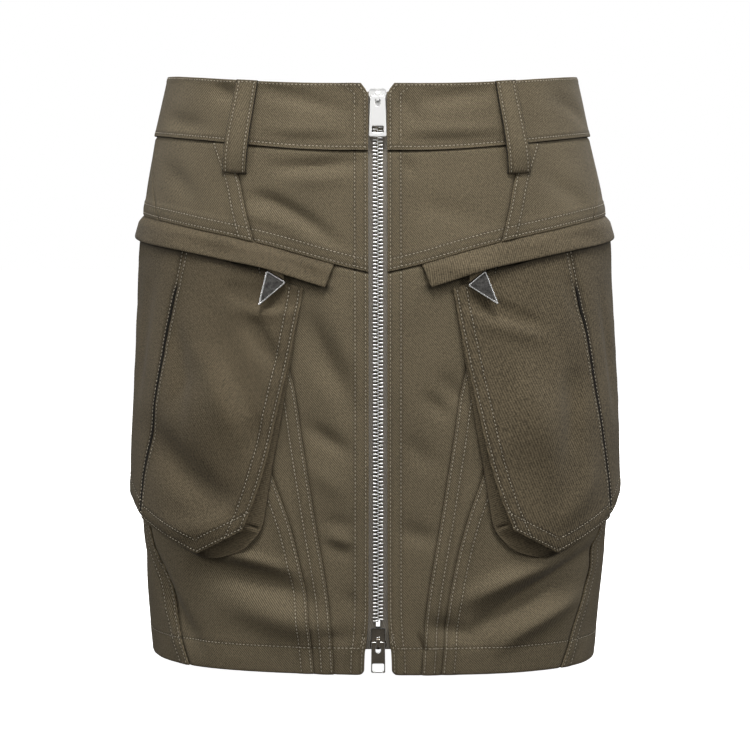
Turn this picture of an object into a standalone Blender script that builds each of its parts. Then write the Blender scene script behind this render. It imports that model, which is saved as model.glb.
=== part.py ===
"""Cargo utility skirt: a short twill skirt with a two-way zip down the centre front.

Every cloth piece is cut as its maker would cut it and bent onto one body surface,
which is a stack of superellipses from the waist to the hem. A place on the skirt is
an angle round the body (degrees from the centre front, positive towards +X), a height
(millimetres, 0 at the top of the side waist) and a lift off the body surface.
The front of the skirt faces -Y, and _l and _r stand for its -X and +X sides.
"""
import math
from collections import namedtuple

import bmesh
import bpy
from mathutils import Matrix, Vector

MM = 0.001
LEFT = -1
RIGHT = 1
SIDES = ((LEFT, "_l"), (RIGHT, "_r"))

# ---------------------------------------------------------------- driving sizes, mm
CLOTH = 1.5
BAND_THICKNESS = 2.4
BAND_LIFT = 0.8
FLAP_THICKNESS = 1.8
GUSSET_THICKNESS = 1.2
GUSSET_FOOT = 0.5
SEAM_GAP = 0.3
CLEAR = 0.3

TOP_FRONT_DIP = 8.3
TOP_BACK_DIP = 5.0
BAND_SEAM_SIDE = -40.7
BAND_SEAM_FRONT_DIP = 12.0
BAND_SEAM_BACK_DIP = 7.0
HEM_HEIGHT = -399.0
HEM_HANG = 1.6

LOOP_WIDTH = 15.0
LOOP_THICKNESS = 1.6
LOOP_LENGTH = 62.0
LOOP_STAND = 3.3
LOOP_ANGLES = (("loop_front_l", -46.4), ("loop_front_r", 46.4), ("loop_back_l", -118.0),
               ("loop_back_r", 118.0), ("loop_back_centre", 180.0))

TAPE_INNER = 1.3
TAPE_OUTER = 15.0
TAPE_THICKNESS = 0.9
TAPE_LIFT = -1.9
TAPE_TOP = -13.5
TAPE_BOTTOM = -382.0
CHAIN_HALF_WIDTH = 3.2
CHAIN_TOP = -27.0
CHAIN_BOTTOM = -365.6
CHAIN_FRONT = 0.9

POCKET_BOTTOM_ANGLE = 51.2
FLAP_END = 86.0

# ---------------------------------------------------------------- tables
# half_width is measured on the -X side, and the +X side is narrower by right_trim,
# because the waist sits a little to the wearer's right of the zip.
Section = namedtuple("Section", "height half_width right_trim front_depth back_depth squareness")
BODY = (
    Section(3.0, 143.0, 4.2, 94.0, 103.0, 2.25),
    Section(-40.0, 152.0, 3.4, 100.0, 110.0, 2.30),
    Section(-95.0, 161.3, 1.0, 108.0, 120.0, 2.35),
    Section(-159.0, 164.0, 0.2, 113.0, 127.0, 2.40),
    Section(-229.0, 164.5, 0.0, 115.0, 128.0, 2.45),
    Section(-299.0, 163.0, 0.6, 116.0, 126.0, 2.50),
    Section(-349.0, 159.5, 1.2, 116.0, 124.0, 2.55),
    Section(-404.0, 154.5, 2.0, 115.0, 121.0, 2.60),
)

# A level runs round the body: its height at each angle from the centre front.
Level = namedtuple("Level", "angle height")
YOKE_SEAM = (
    Level(0.0, -134.2), Level(15.0, -127.3), Level(35.0, -115.4), Level(50.0, -107.5),
    Level(70.0, -98.5), Level(90.0, -94.5), Level(135.0, -101.0), Level(180.0, -113.0),
)
FLAP_HEM = (
    Level(12.0, -146.0), Level(17.4, -143.0), Level(27.5, -136.2), Level(35.0, -131.0),
    Level(43.0, -127.0), Level(62.0, -118.2), Level(88.0, -110.0),
)
POCKET_MOUTH = (
    Level(20.0, -146.0), Level(28.0, -141.0), Level(35.0, -135.5), Level(46.0, -126.0),
    Level(55.0, -118.5), Level(65.0, -112.5), Level(84.0, -106.0),
)
POCKET_BASE = (
    Level(36.0, -298.5), Level(39.2, -303.0), Level(POCKET_BOTTOM_ANGLE, -320.0),
    Level(69.0, -300.5), Level(77.5, -285.0), Level(82.0, -276.0),
)

# A seam runs down the body: its angle at each height.
Seam = namedtuple("Seam", "height angle")
YOKE_SLANT = (
    Seam(-40.0, 52.0), Seam(-69.0, 45.7), Seam(-90.0, 42.7), Seam(-115.0, 39.0),
)
YOKE_SIDE = (
    Seam(-38.0, 82.5), Seam(-72.0, 77.0), Seam(-86.0, 73.0), Seam(-100.0, 69.0),
)
INSERT_INNER = (
    Seam(-105.0, 37.0), Seam(-150.0, 32.0), Seam(-192.0, 28.5), Seam(-213.0, 26.1),
    Seam(-246.0, 23.8), Seam(-272.0, 21.9), Seam(-300.0, 19.8), Seam(-334.0, 17.1),
    Seam(-360.0, 15.5), Seam(-405.0, 14.2),
)
INSERT_OUTER = (
    Seam(-95.0, 56.0), Seam(-200.0, 42.0), Seam(-240.0, 36.0), Seam(-267.0, 32.5),
    Seam(-293.0, 28.4), Seam(-310.0, 26.2), Seam(-335.0, 23.7), Seam(-357.0, 22.1),
    Seam(-405.0, 20.3),
)
SIDE_SEAM = (
    Seam(-90.0, 90.0), Seam(-200.0, 86.5), Seam(-265.0, 79.0), Seam(-312.0, 72.0),
    Seam(-339.0, 66.5), Seam(-370.0, 61.2), Seam(-405.0, 55.8),
)
POCKET_INNER = (
    Seam(-135.0, 23.6), Seam(-163.0, 25.4), Seam(-189.0, 27.4), Seam(-229.0, 30.8),
    Seam(-249.0, 32.5), Seam(-267.0, 34.3), Seam(-282.0, 36.1), Seam(-303.0, 39.2),
    Seam(-325.0, 43.0),
)
POCKET_FOLD = (
    Seam(-105.0, 57.8), Seam(-124.0, 58.6), Seam(-163.0, 61.4), Seam(-203.0, 63.6),
    Seam(-247.0, 66.4), Seam(-276.0, 68.5), Seam(-310.0, 69.8),
)
POCKET_OUTER = (
    Seam(-100.0, 81.0), Seam(-205.0, 79.4), Seam(-260.0, 78.5), Seam(-300.0, 77.3),
)
FRONT_EDGE = (
    Seam(-10.0, 6.3), Seam(-355.0, 6.3), Seam(-378.0, 7.6), Seam(-384.0, 8.6), Seam(-405.0, 9.2),
)

# How far the pocket's outer skin stands off the body at each height.
Stand = namedtuple("Stand", "height lift")
POCKET_STAND = (
    Stand(-100.0, 2.1), Stand(-145.0, 2.2), Stand(-180.0, 3.6), Stand(-220.0, 5.4),
    Stand(-260.0, 7.8), Stand(-285.0, 9.3), Stand(-300.0, 9.6), Stand(-325.0, 9.2),
)

# The bellows strip: where it is sewn to the body, and where it meets the pocket face.
Bellows = namedtuple("Bellows", "base_angle base_height edge_angle edge_height")
GUSSET = (
    Bellows(26.5, -178.0, 26.9, -178.0), Bellows(28.3, -205.0, 29.3, -205.0),
    Bellows(30.2, -235.0, 31.8, -235.0), Bellows(32.2, -262.0, 34.3, -261.0),
    Bellows(33.6, -284.0, 36.8, -283.0), Bellows(34.8, -300.0, 38.9, -296.0),
    Bellows(37.4, -310.0, 40.6, -302.5), Bellows(42.0, -319.0, 45.5, -309.5),
    Bellows(50.5, -323.0, 51.2, -317.6), Bellows(60.5, -314.0, 60.0, -308.0),
    Bellows(66.5, -307.0, 66.0, -301.8), Bellows(71.0, -302.0, 69.8, -297.0),
    Bellows(76.0, -295.5, 73.8, -289.8), Bellows(80.5, -285.0, 76.6, -282.5),
    Bellows(81.8, -268.0, 77.4, -268.0), Bellows(81.9, -235.0, 78.0, -235.0),
    Bellows(81.6, -205.0, 78.5, -205.0), Bellows(80.8, -178.0, 78.9, -178.0),
)

# The metal drops: where the top edge's middle lies, and how far the drop leans outward.
Drop = namedtuple("Drop", "side angle height lean")
DROPS = (Drop(LEFT, 32.0, -136.6, 30.0), Drop(RIGHT, 31.2, -137.6, 38.0))
DROP_HALF_BASE = 7.3
DROP_LENGTH = 21.0
DROP_THICKNESS = 1.7
DROP_LIFT = 4.4
DROP_KICK = 7.0
DROP_TAB_WIDTH = 6.0
DROP_TAB_THICKNESS = 1.0
DROP_TAB_LENGTH = 12.0

# Outlines of flat hardware: half the width at each distance above the piece's origin.
Width = namedtuple("Width", "height half")
SLIDER = (
    Width(7.0, 4.2), Width(6.0, 5.6), Width(3.6, 5.9), Width(0.0, 4.9), Width(-6.6, 4.8),
    Width(-7.3, 4.3),
)
PULL_TOP = (
    Width(1.0, 4.3), Width(0.2, 4.9), Width(-12.0, 5.1), Width(-25.2, 5.75), Width(-26.3, 5.0),
)
PULL_BOTTOM = (
    Width(1.0, 4.0), Width(0.2, 4.6), Width(-10.0, 4.7), Width(-18.6, 4.9), Width(-19.6, 4.2),
)
DROP = (
    Width(0.75, DROP_HALF_BASE - 0.5), Width(-0.3, DROP_HALF_BASE),
    Width(-DROP_LENGTH + 0.8, 0.6), Width(-DROP_LENGTH, 0.15),
)
SLIDER_FRONT = 1.2
SLIDER_PLATE = 1.4
SLIDER_BACK = -3.2
ARCH_HALF_LENGTH = 3.8
ARCH_HALF_WIDTH = 1.1
ARCH_BAR = 1.0
PULL_LIFT = 3.9
PULL_THICKNESS = 1.4
SLIDER_TOP_HEIGHT = -19.3
SLIDER_BOTTOM_HEIGHT = -374.0
ARCH_SHIFT = 1.0


# ---------------------------------------------------------------- curves and the body
def smooth(rows, at):
    """The second column of rows at a value of the first, on one smooth curve."""
    keys = [row[0] for row in rows]
    values = [row[1] for row in rows]
    if keys[0] > keys[-1]:
        keys = keys[::-1]
        values = values[::-1]
    at = min(max(at, keys[0]), keys[-1])
    i = 0
    while i < len(keys) - 2 and at > keys[i + 1]:
        i += 1

    def slope(j):
        low = max(j - 1, 0)
        high = min(j + 1, len(keys) - 1)
        return (values[high] - values[low]) / (keys[high] - keys[low])

    span = keys[i + 1] - keys[i]
    t = (at - keys[i]) / span
    bend_in = slope(i) * span
    bend_out = slope(i + 1) * span
    return (values[i] * (2 * t ** 3 - 3 * t ** 2 + 1) + bend_in * (t ** 3 - 2 * t ** 2 + t)
            + values[i + 1] * (3 * t ** 2 - 2 * t ** 3) + bend_out * (t ** 3 - t ** 2))


def straight(rows, at):
    """The second column of rows at a value of the first, on straight runs between rows."""
    keys = [row[0] for row in rows]
    values = [row[1] for row in rows]
    if keys[0] > keys[-1]:
        keys = keys[::-1]
        values = values[::-1]
    at = min(max(at, keys[0]), keys[-1])
    i = 0
    while i < len(keys) - 2 and at > keys[i + 1]:
        i += 1
    t = (at - keys[i]) / (keys[i + 1] - keys[i])
    return values[i] + (values[i + 1] - values[i]) * t


def body_radius(angle, height):
    """Distance from the upright axis to the body surface, in millimetres."""
    column = {}
    for name in Section._fields[1:]:
        column[name] = smooth([(row.height, getattr(row, name)) for row in BODY], height)
    turn = math.radians(angle)
    depth = column["front_depth"] if math.cos(turn) > 0 else column["back_depth"]
    trim = column["right_trim"] if math.sin(turn) > 0 else 0.0
    power = column["squareness"]
    across = abs(math.sin(turn) / (column["half_width"] - trim)) ** power
    along = abs(math.cos(turn) / depth) ** power
    return (across + along) ** (-1 / power)


def skin(angle, height):
    """A point of the body surface, in millimetres."""
    turn = math.radians(angle)
    radius = body_radius(angle, height)
    return Vector((radius * math.sin(turn), -radius * math.cos(turn), height))


def outward(angle, height):
    """The body surface's outward direction."""
    across = skin(angle + 0.5, height) - skin(angle - 0.5, height)
    upward = skin(angle, height + 1) - skin(angle, height - 1)
    return across.cross(upward).normalized()


def on_body(angle, height, lift):
    """A point in metres, lifted off the body surface by lift millimetres."""
    return (skin(angle, height) + outward(angle, height) * lift) * MM


def degrees_for(distance, height):
    """The angle that a short distance across the centre front takes up."""
    return math.degrees(distance / body_radius(0, height))


def seam_angle(rows):
    return lambda height: smooth(rows, height)


def level_height(rows):
    return lambda angle: smooth(rows, abs(angle))


# ---------------------------------------------------------------- levels of this skirt
def dip(angle, power):
    """1 at the centre front and back, 0 at the sides."""
    return 1 - abs(math.sin(math.radians(angle))) ** power


def waist_top(angle):
    front = abs(angle) < 90
    return -(TOP_FRONT_DIP if front else TOP_BACK_DIP) * dip(angle, 4)


def band_seam(angle):
    front = abs(angle) < 90
    return BAND_SEAM_SIDE - (BAND_SEAM_FRONT_DIP if front else BAND_SEAM_BACK_DIP) * dip(angle, 3)


def hem(angle):
    return HEM_HEIGHT - HEM_HANG * math.sin(math.radians(angle))


yoke_seam = level_height(YOKE_SEAM)
flap_hem = level_height(FLAP_HEM)
pocket_mouth = level_height(POCKET_MOUTH)


def pocket_base(angle):
    return straight(POCKET_BASE, abs(angle))


def front_edge(height):
    return degrees_for(smooth(FRONT_EDGE, height), height)


def band_front_edge(height):
    """The waistband's end at the zip, with its top corner cut off."""
    corner = max(0.0, height + 14.5) * 0.75
    return degrees_for(FRONT_EDGE[0].angle + corner, height)


# ---------------------------------------------------------------- lifts
def level_with_body(angle, height):
    return 0.0


def band_lift(angle, height):
    return BAND_LIFT


def pocket_lift(angle, height):
    return smooth(POCKET_STAND, height)


def flap_inner_lift(angle, height):
    """The flap springs from the yoke seam and stands off most over the metal drop."""
    top = yoke_seam(angle)
    down = (top - height) / (top - flap_hem(angle))
    spring = 2.6 * math.exp(-((abs(angle) - 33.0) / 9.0) ** 2)
    return 0.4 + (2.9 + spring) * down


def flap_lift(angle, height):
    return flap_inner_lift(angle, height) + FLAP_THICKNESS


def loop_lift(angle, height):
    """A belt loop lies on the waistband at both ends and bows between them."""
    down = (waist_top(angle) - height) / LOOP_LENGTH
    bow = math.sin(math.pi * min(max(down, 0.0), 1.0)) ** 0.6
    foot = BAND_LIFT * (1 - down)
    return foot + CLEAR + LOOP_THICKNESS + LOOP_STAND * bow


def drop_tab_lift(angle, height):
    return flap_inner_lift(angle, max(height, flap_hem(angle))) - CLEAR


# ---------------------------------------------------------------- scene set-up
def clear_scene():
    for item in list(bpy.data.objects):
        bpy.data.objects.remove(item, do_unlink=True)


def new_collection(name):
    collection = bpy.data.collections.new(name)
    bpy.context.scene.collection.children.link(collection)
    return collection


def new_material(name, colour, roughness, metallic):
    material = bpy.data.materials.new(name)
    material.use_nodes = True
    shader = material.node_tree.nodes["Principled BSDF"]
    shader.inputs["Base Color"].default_value = (*colour, 1)
    shader.inputs["Roughness"].default_value = roughness
    shader.inputs["Metallic"].default_value = metallic
    return material


def new_object(name, bm, collection, finish):
    mesh = bpy.data.meshes.new(name)
    bm.to_mesh(mesh)
    bm.free()
    item = bpy.data.objects.new(name, mesh)
    collection.objects.link(item)
    mesh.materials.append(new_material(name, *finish))
    return item


TWILL = ((0.125, 0.10, 0.07), 0.85, 0.0)
TWILL_LIGHT = ((0.16, 0.13, 0.09), 0.85, 0.0)
TWILL_DARK = ((0.10, 0.08, 0.052), 0.85, 0.0)
ZIP_TAPE = ((0.12, 0.10, 0.074), 0.8, 0.0)
NICKEL = ((0.72, 0.70, 0.67), 0.25, 1.0)
AGED_NICKEL = ((0.35, 0.33, 0.30), 0.4, 1.0)


# ---------------------------------------------------------------- ways of making a piece
def thicken(item, thickness):
    wall = item.modifiers.new("wall", "SOLIDIFY")
    wall.thickness = thickness * MM
    wall.offset = -1


def panel(name, side, left, right, top, bottom, columns, rows, lift, thickness, finish):
    """A piece of cloth bent onto the body.

    left and right give the side edges' angles at a height, top and bottom the other two
    edges' heights at an angle, and lift the outer face's distance from the body. The
    edges are drawn for the +X side, and side mirrors them.
    """
    half_gap = SEAM_GAP / 2
    bm = bmesh.new()
    bmesh.ops.create_grid(bm, x_segments=columns, y_segments=rows, size=0.5)
    for vert in bm.verts:
        across = vert.co.x + 0.5
        down = 0.5 - vert.co.y
        height = (top(45.0) + bottom(45.0)) / 2
        for _ in range(8):
            inset = math.degrees(half_gap / body_radius(45, height))
            low = left(height) + inset
            high = right(height) - inset
            angle = low + (high - low) * across
            upper = top(angle * side) - half_gap
            lower = bottom(angle * side) + half_gap
            height = upper + (lower - upper) * down
        vert.co = on_body(angle * side, height, lift(angle, height))
    if side == LEFT:
        bmesh.ops.reverse_faces(bm, faces=bm.faces)
    item = new_object(name, bm, PARTS, finish)
    thicken(item, thickness)
    return item


def loft(name, rings, finish):
    """One closed skin through rings of equally many points, with flat ends."""
    bm = bmesh.new()
    loops = [[bm.verts.new(point) for point in ring] for ring in rings]
    count = len(loops[0])
    for near, far in zip(loops, loops[1:]):
        for i in range(count):
            j = (i + 1) % count
            bm.faces.new((near[i], near[j], far[j], far[i]))
    bm.faces.new(reversed(loops[0]))
    bm.faces.new(loops[-1])
    bmesh.ops.recalc_face_normals(bm, faces=bm.faces)
    return new_object(name, bm, PARTS, finish)


def frame_on_body(angle, height, lift, lean=0.0, kick=0.0):
    """A local frame: X along the cloth, Y into the body, Z up the cloth.

    lean turns it in the plane of the cloth and kick tips its lower end outward.
    """
    normal = outward(angle, height)
    sideways = Vector((0, 0, 1)).cross(-normal).normalized() * -1
    upward = sideways.cross(-normal).normalized()
    if upward.z < 0:
        upward.negate()
    sideways = (-normal).cross(upward).normalized()
    base = Matrix((sideways, -normal, upward)).transposed().to_4x4()
    spot = Matrix.Translation(on_body(angle, height, lift))
    lean_turn = Matrix.Rotation(math.radians(lean), 4, "Y")
    kick_turn = Matrix.Rotation(math.radians(kick), 4, "X")
    return spot @ base @ lean_turn @ kick_turn


def slab(name, rows, front, thickness, frame, finish, collection=None):
    """A flat plate of the given half widths, whose front face is front mm out."""
    bm = bmesh.new()
    bmesh.ops.create_grid(bm, x_segments=1, y_segments=len(rows) - 1, size=0.5)
    for vert in bm.verts:
        row = rows[round((0.5 - vert.co.y) * (len(rows) - 1))]
        side = 1 if vert.co.x > 0 else -1
        vert.co = Vector((side * row.half, -front, row.height)) * MM
    item = new_object(name, bm, collection or PARTS, finish)
    item.matrix_world = frame
    thicken(item, thickness)
    return item


def block(name, low, high, frame):
    """A helper box between two corners given in millimetres."""
    size = [(b - a) * MM for a, b in zip(low, high)]
    centre = [(a + b) / 2 * MM for a, b in zip(low, high)]
    bm = bmesh.new()
    bmesh.ops.create_cube(bm, size=1.0, matrix=Matrix.Translation(centre) @ Matrix.Diagonal((*size, 1)))
    item = new_object(name, bm, HELPERS, NICKEL)
    item.matrix_world = frame
    item.hide_render = True
    item.display_type = "WIRE"
    return item


def combine(item, helper, operation):
    step = item.modifiers.new(helper.name, "BOOLEAN")
    step.operation = operation
    step.object = helper


# ---------------------------------------------------------------- cloth
def make_waistband():
    for side, mark in SIDES:
        panel("waistband" + mark, side, band_front_edge, lambda height: 180.0, waist_top, band_seam,
              24, 2, band_lift, BAND_THICKNESS, TWILL_LIGHT)


def make_yoke():
    slant = seam_angle(YOKE_SLANT)
    side_seam = seam_angle(YOKE_SIDE)
    for side, mark in SIDES:
        panel("yoke_front" + mark, side, front_edge, slant, band_seam, yoke_seam,
              7, 5, level_with_body, CLOTH, TWILL_LIGHT)
        panel("yoke_side" + mark, side, slant, side_seam, band_seam, yoke_seam,
              6, 5, level_with_body, CLOTH, TWILL_LIGHT)
        panel("yoke_back" + mark, side, side_seam, lambda height: 180.0, band_seam, yoke_seam,
              15, 5, level_with_body, CLOTH, TWILL_LIGHT)


def make_lower_panels():
    inner = seam_angle(INSERT_INNER)
    outer = seam_angle(INSERT_OUTER)
    side_seam = seam_angle(SIDE_SEAM)
    strips = (
        ("front_centre", front_edge, inner, 4),
        ("front_insert", inner, outer, 3),
        ("front_side", outer, side_seam, 9),
        ("back", side_seam, lambda height: 180.0, 14),
    )
    for side, mark in SIDES:
        for name, left, right, columns in strips:
            panel(name + mark, side, left, right, yoke_seam, hem,
                  columns, 13, level_with_body, CLOTH, TWILL)


def make_loops():
    for name, middle in LOOP_ANGLES:
        half = math.degrees(LOOP_WIDTH / 2 / body_radius(middle, -35))
        panel(name, RIGHT, lambda height: middle - half, lambda height: middle + half,
              waist_top, lambda angle: waist_top(angle) - LOOP_LENGTH,
              2, 10, loop_lift, LOOP_THICKNESS, TWILL)


def make_pocket_panels():
    inner = seam_angle(POCKET_INNER)
    fold = seam_angle(POCKET_FOLD)
    outer = seam_angle(POCKET_OUTER)
    for side, mark in SIDES:
        panel("pocket_face" + mark, side, inner, fold, pocket_mouth, pocket_base,
              10, 13, pocket_lift, CLOTH, TWILL_DARK)
        panel("pocket_side" + mark, side, fold, outer, pocket_mouth, pocket_base,
              4, 13, pocket_lift, CLOTH, TWILL_DARK)


def gusset_ring(side, row, inward):
    """The strip's section: foot and head of its outer face, then of its inner face."""
    head = pocket_lift(row.edge_angle, row.edge_height) - CLOTH - CLEAR
    foot = GUSSET_FOOT
    outer_foot = on_body(side * row.base_angle, row.base_height, foot)
    outer_head = on_body(side * row.edge_angle, row.edge_height, head)
    shift = Vector(inward) * GUSSET_THICKNESS
    turn = math.degrees(shift.x / body_radius(row.edge_angle, row.edge_height))
    inner_head = on_body(side * (row.edge_angle + turn), row.edge_height + shift.y, head)
    inner_foot = on_body(side * (row.base_angle + turn), row.base_height + shift.y, foot)
    return outer_foot, outer_head, inner_head, inner_foot


def inward_of(rows, i):
    """Across the strip at row i, towards the pocket's middle, in cloth millimetres."""
    before = rows[max(i - 1, 0)]
    after = rows[min(i + 1, len(rows) - 1)]
    radius = body_radius(rows[i].edge_angle, rows[i].edge_height)
    run = Vector((math.radians(after.base_angle - before.base_angle) * radius,
                  after.base_height - before.base_height)).normalized()
    return -run.y, run.x


def make_gussets():
    rows = []
    for near, far in zip(GUSSET, GUSSET[1:]):
        middle = [(a + b) / 2 for a, b in zip(near, far)]
        rows += [near, Bellows(*middle)]
    rows.append(GUSSET[-1])
    for side, mark in SIDES:
        rings = [gusset_ring(side, row, inward_of(rows, i)) for i, row in enumerate(rows)]
        loft("pocket_gusset" + mark, rings, TWILL_DARK)


def make_flaps():
    def end_edge(height):
        return 14.6 + (-127.5 - height) * 0.17

    for side, mark in SIDES:
        panel("flap" + mark, side, end_edge, lambda height: FLAP_END,
              lambda angle: yoke_seam(angle) - CLEAR, flap_hem,
              18, 3, flap_lift, FLAP_THICKNESS, TWILL_LIGHT)


# ---------------------------------------------------------------- zip
def make_zip_tapes():
    for side, mark in SIDES:
        panel("zip_tape" + mark, side, lambda height: degrees_for(TAPE_INNER, height),
              lambda height: degrees_for(TAPE_OUTER, height), lambda angle: TAPE_TOP,
              lambda angle: TAPE_BOTTOM, 1, 16,
              lambda angle, height: TAPE_LIFT, TAPE_THICKNESS, ZIP_TAPE)


def make_zip_chain():
    """The closed teeth as one strip that lies on both tapes."""
    front = CHAIN_FRONT
    panel("zip_chain", RIGHT, lambda height: degrees_for(-CHAIN_HALF_WIDTH, height),
          lambda height: degrees_for(CHAIN_HALF_WIDTH, height), lambda angle: CHAIN_TOP,
          lambda angle: CHAIN_BOTTOM, 1, 16,
          lambda angle, height: front, front - TAPE_LIFT - CLEAR, NICKEL)


def make_slider(name, height, nose, arch_middle, finish):
    """A slider: front and back plates joined by a wedge, with an arch for the pull tab.

    nose is 1 where the wedge end points up and -1 where it points down.
    """
    frame = frame_on_body(0, height, 0)
    rows = [Width(nose * row.height, row.half) for row in SLIDER]
    if nose < 0:
        rows = rows[::-1]
    top = SLIDER_FRONT + SLIDER_PLATE
    body = slab(name, rows, top, SLIDER_PLATE, frame, finish)
    back = slab(name + "_back", rows, SLIDER_BACK, SLIDER_PLATE, frame, finish, HELPERS)
    back.hide_render = True
    back.display_type = "WIRE"
    combine(body, back, "UNION")
    low = min(nose * 2.0, nose * 6.2)
    high = max(nose * 2.0, nose * 6.2)
    wedge = block(name + "_wedge", (-0.95, -SLIDER_FRONT - 0.5, low),
                  (0.95, -SLIDER_BACK + 0.5, high), frame)
    combine(body, wedge, "UNION")
    for side, mark in SIDES:
        edge_low = min(side * 3.7, side * 4.6)
        flange = block(name + "_flange" + mark, (edge_low, -SLIDER_FRONT - 0.5, -6.4),
                       (edge_low + 0.9, -TAPE_LIFT - CLEAR, 6.0 * 0.5), frame)
        combine(body, flange, "UNION")
    crown = PULL_LIFT + 2.5
    arch = block(name + "_arch",
                 (-ARCH_HALF_WIDTH, -crown, arch_middle - ARCH_HALF_LENGTH),
                 (ARCH_HALF_WIDTH, -top + 0.5, arch_middle + ARCH_HALF_LENGTH), frame)
    combine(body, arch, "UNION")
    span = ARCH_HALF_LENGTH - ARCH_BAR - 0.2
    eye = block(name + "_eye", (-3.0, -crown + ARCH_BAR, arch_middle - span),
                (3.0, -top, arch_middle + span), frame)
    combine(body, eye, "DIFFERENCE")
    return body


def make_pull(name, height, arch_middle, rows, window, finish):
    """A pull tab that hangs on a slider's arch; its origin is on the hinge line."""
    frame = frame_on_body(0, height, 0) @ Matrix.Translation(
        Vector((0, -PULL_LIFT, arch_middle)) * MM)
    half = PULL_THICKNESS / 2
    tab = slab(name, rows, half, PULL_THICKNESS, frame, finish)
    slot = block(name + "_slot", (-1.9, -2, -6.2), (1.9, 2, -1.0), frame)
    combine(tab, slot, "DIFFERENCE")
    low, high, width = window
    opening = block(name + "_window", (-width, -2, low), (width, 2, high), frame)
    combine(tab, opening, "DIFFERENCE")


def make_zip_hardware():
    make_slider("zip_slider_top", SLIDER_TOP_HEIGHT, 1, ARCH_SHIFT, NICKEL)
    make_pull("zip_pull_top", SLIDER_TOP_HEIGHT, ARCH_SHIFT, PULL_TOP, (-23.4, -19.2, 4.1), NICKEL)
    make_slider("zip_slider_bottom", SLIDER_BOTTOM_HEIGHT, -1, -3.0, AGED_NICKEL)
    make_pull("zip_pull_bottom", SLIDER_BOTTOM_HEIGHT, -3.0, PULL_BOTTOM, (-18.6, -13.8, 4.0),
              AGED_NICKEL)


# ---------------------------------------------------------------- metal drops
def make_drops():
    for drop in DROPS:
        mark = "_l" if drop.side == LEFT else "_r"
        frame = frame_on_body(drop.side * drop.angle, drop.height, DROP_LIFT,
                              lean=-drop.side * drop.lean, kick=-DROP_KICK)
        slab("triangle_drop" + mark, DROP, DROP_THICKNESS / 2, DROP_THICKNESS, frame, AGED_NICKEL)


def make_drop_tabs():
    for drop in DROPS:
        mark = "_l" if drop.side == LEFT else "_r"
        radius = body_radius(drop.angle, drop.height)
        half = math.degrees(DROP_TAB_WIDTH / 2 / radius)
        rise = math.tan(math.radians(drop.lean)) * math.radians(1) * radius
        above = 1.5 / math.cos(math.radians(drop.lean))

        def foot(angle, drop=drop, rise=rise, above=above):
            return drop.height + above + (abs(angle) - drop.angle) * rise

        panel("drop_tab" + mark, drop.side, lambda height: drop.angle - half,
              lambda height: drop.angle + half, lambda angle: foot(angle) + DROP_TAB_LENGTH, foot,
              2, 5, drop_tab_lift, DROP_TAB_THICKNESS, TWILL_DARK)


clear_scene()
PARTS = new_collection("cargo_utility_skirt")
HELPERS = new_collection("cutters")
make_waistband()
make_yoke()
make_lower_panels()
make_loops()
make_pocket_panels()
make_gussets()
make_flaps()
make_zip_tapes()
make_zip_chain()
make_zip_hardware()
make_drops()
make_drop_tabs()
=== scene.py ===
"""Looks of the cargo utility skirt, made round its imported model.

Every cloth piece is cut as its maker would cut it and bent onto one body surface. A place
on the skirt is an angle round the body (degrees from the centre front, positive towards
+X), a height (millimetres, 0 at the top of the side waist) and a lift off the surface
(millimetres). The front faces -Y, and _l and _r stand for the -X and +X sides.
"""
import math
from collections import namedtuple
from dataclasses import dataclass

import bmesh
import bpy
import numpy as np
from mathutils import Matrix, Vector


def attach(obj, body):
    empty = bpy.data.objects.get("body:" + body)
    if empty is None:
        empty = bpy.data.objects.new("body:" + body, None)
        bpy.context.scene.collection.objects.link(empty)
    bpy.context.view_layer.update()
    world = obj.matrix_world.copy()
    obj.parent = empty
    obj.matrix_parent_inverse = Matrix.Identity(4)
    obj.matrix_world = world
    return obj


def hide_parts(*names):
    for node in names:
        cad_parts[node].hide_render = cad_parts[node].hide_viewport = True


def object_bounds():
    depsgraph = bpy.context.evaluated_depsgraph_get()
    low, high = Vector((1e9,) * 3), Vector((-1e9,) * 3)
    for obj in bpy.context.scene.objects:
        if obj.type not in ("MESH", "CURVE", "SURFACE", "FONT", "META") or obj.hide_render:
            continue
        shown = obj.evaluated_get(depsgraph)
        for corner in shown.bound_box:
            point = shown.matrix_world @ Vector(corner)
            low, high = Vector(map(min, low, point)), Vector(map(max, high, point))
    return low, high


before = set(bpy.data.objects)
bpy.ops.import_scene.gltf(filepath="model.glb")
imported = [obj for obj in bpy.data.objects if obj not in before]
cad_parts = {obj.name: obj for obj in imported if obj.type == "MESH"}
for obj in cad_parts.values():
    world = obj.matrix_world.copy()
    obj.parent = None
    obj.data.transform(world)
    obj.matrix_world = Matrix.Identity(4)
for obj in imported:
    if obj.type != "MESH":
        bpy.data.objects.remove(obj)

bl_info = {
    "name": "Cargo utility skirt",
    "version": (1, 0, 0),
    "blender": (4, 5, 0),
    "location": "3D View > Sidebar > Skirt",
    "description": "Cloth, stitching, zip, metal drops and studio for the cargo utility skirt",
    "category": "Object",
}

CAD_BOX = [list(corner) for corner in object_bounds()]
MM = 0.001
LEFT = -1
RIGHT = 1
SIDES = ((LEFT, "_l"), (RIGHT, "_r"))
MARKS = dict(SIDES)

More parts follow.
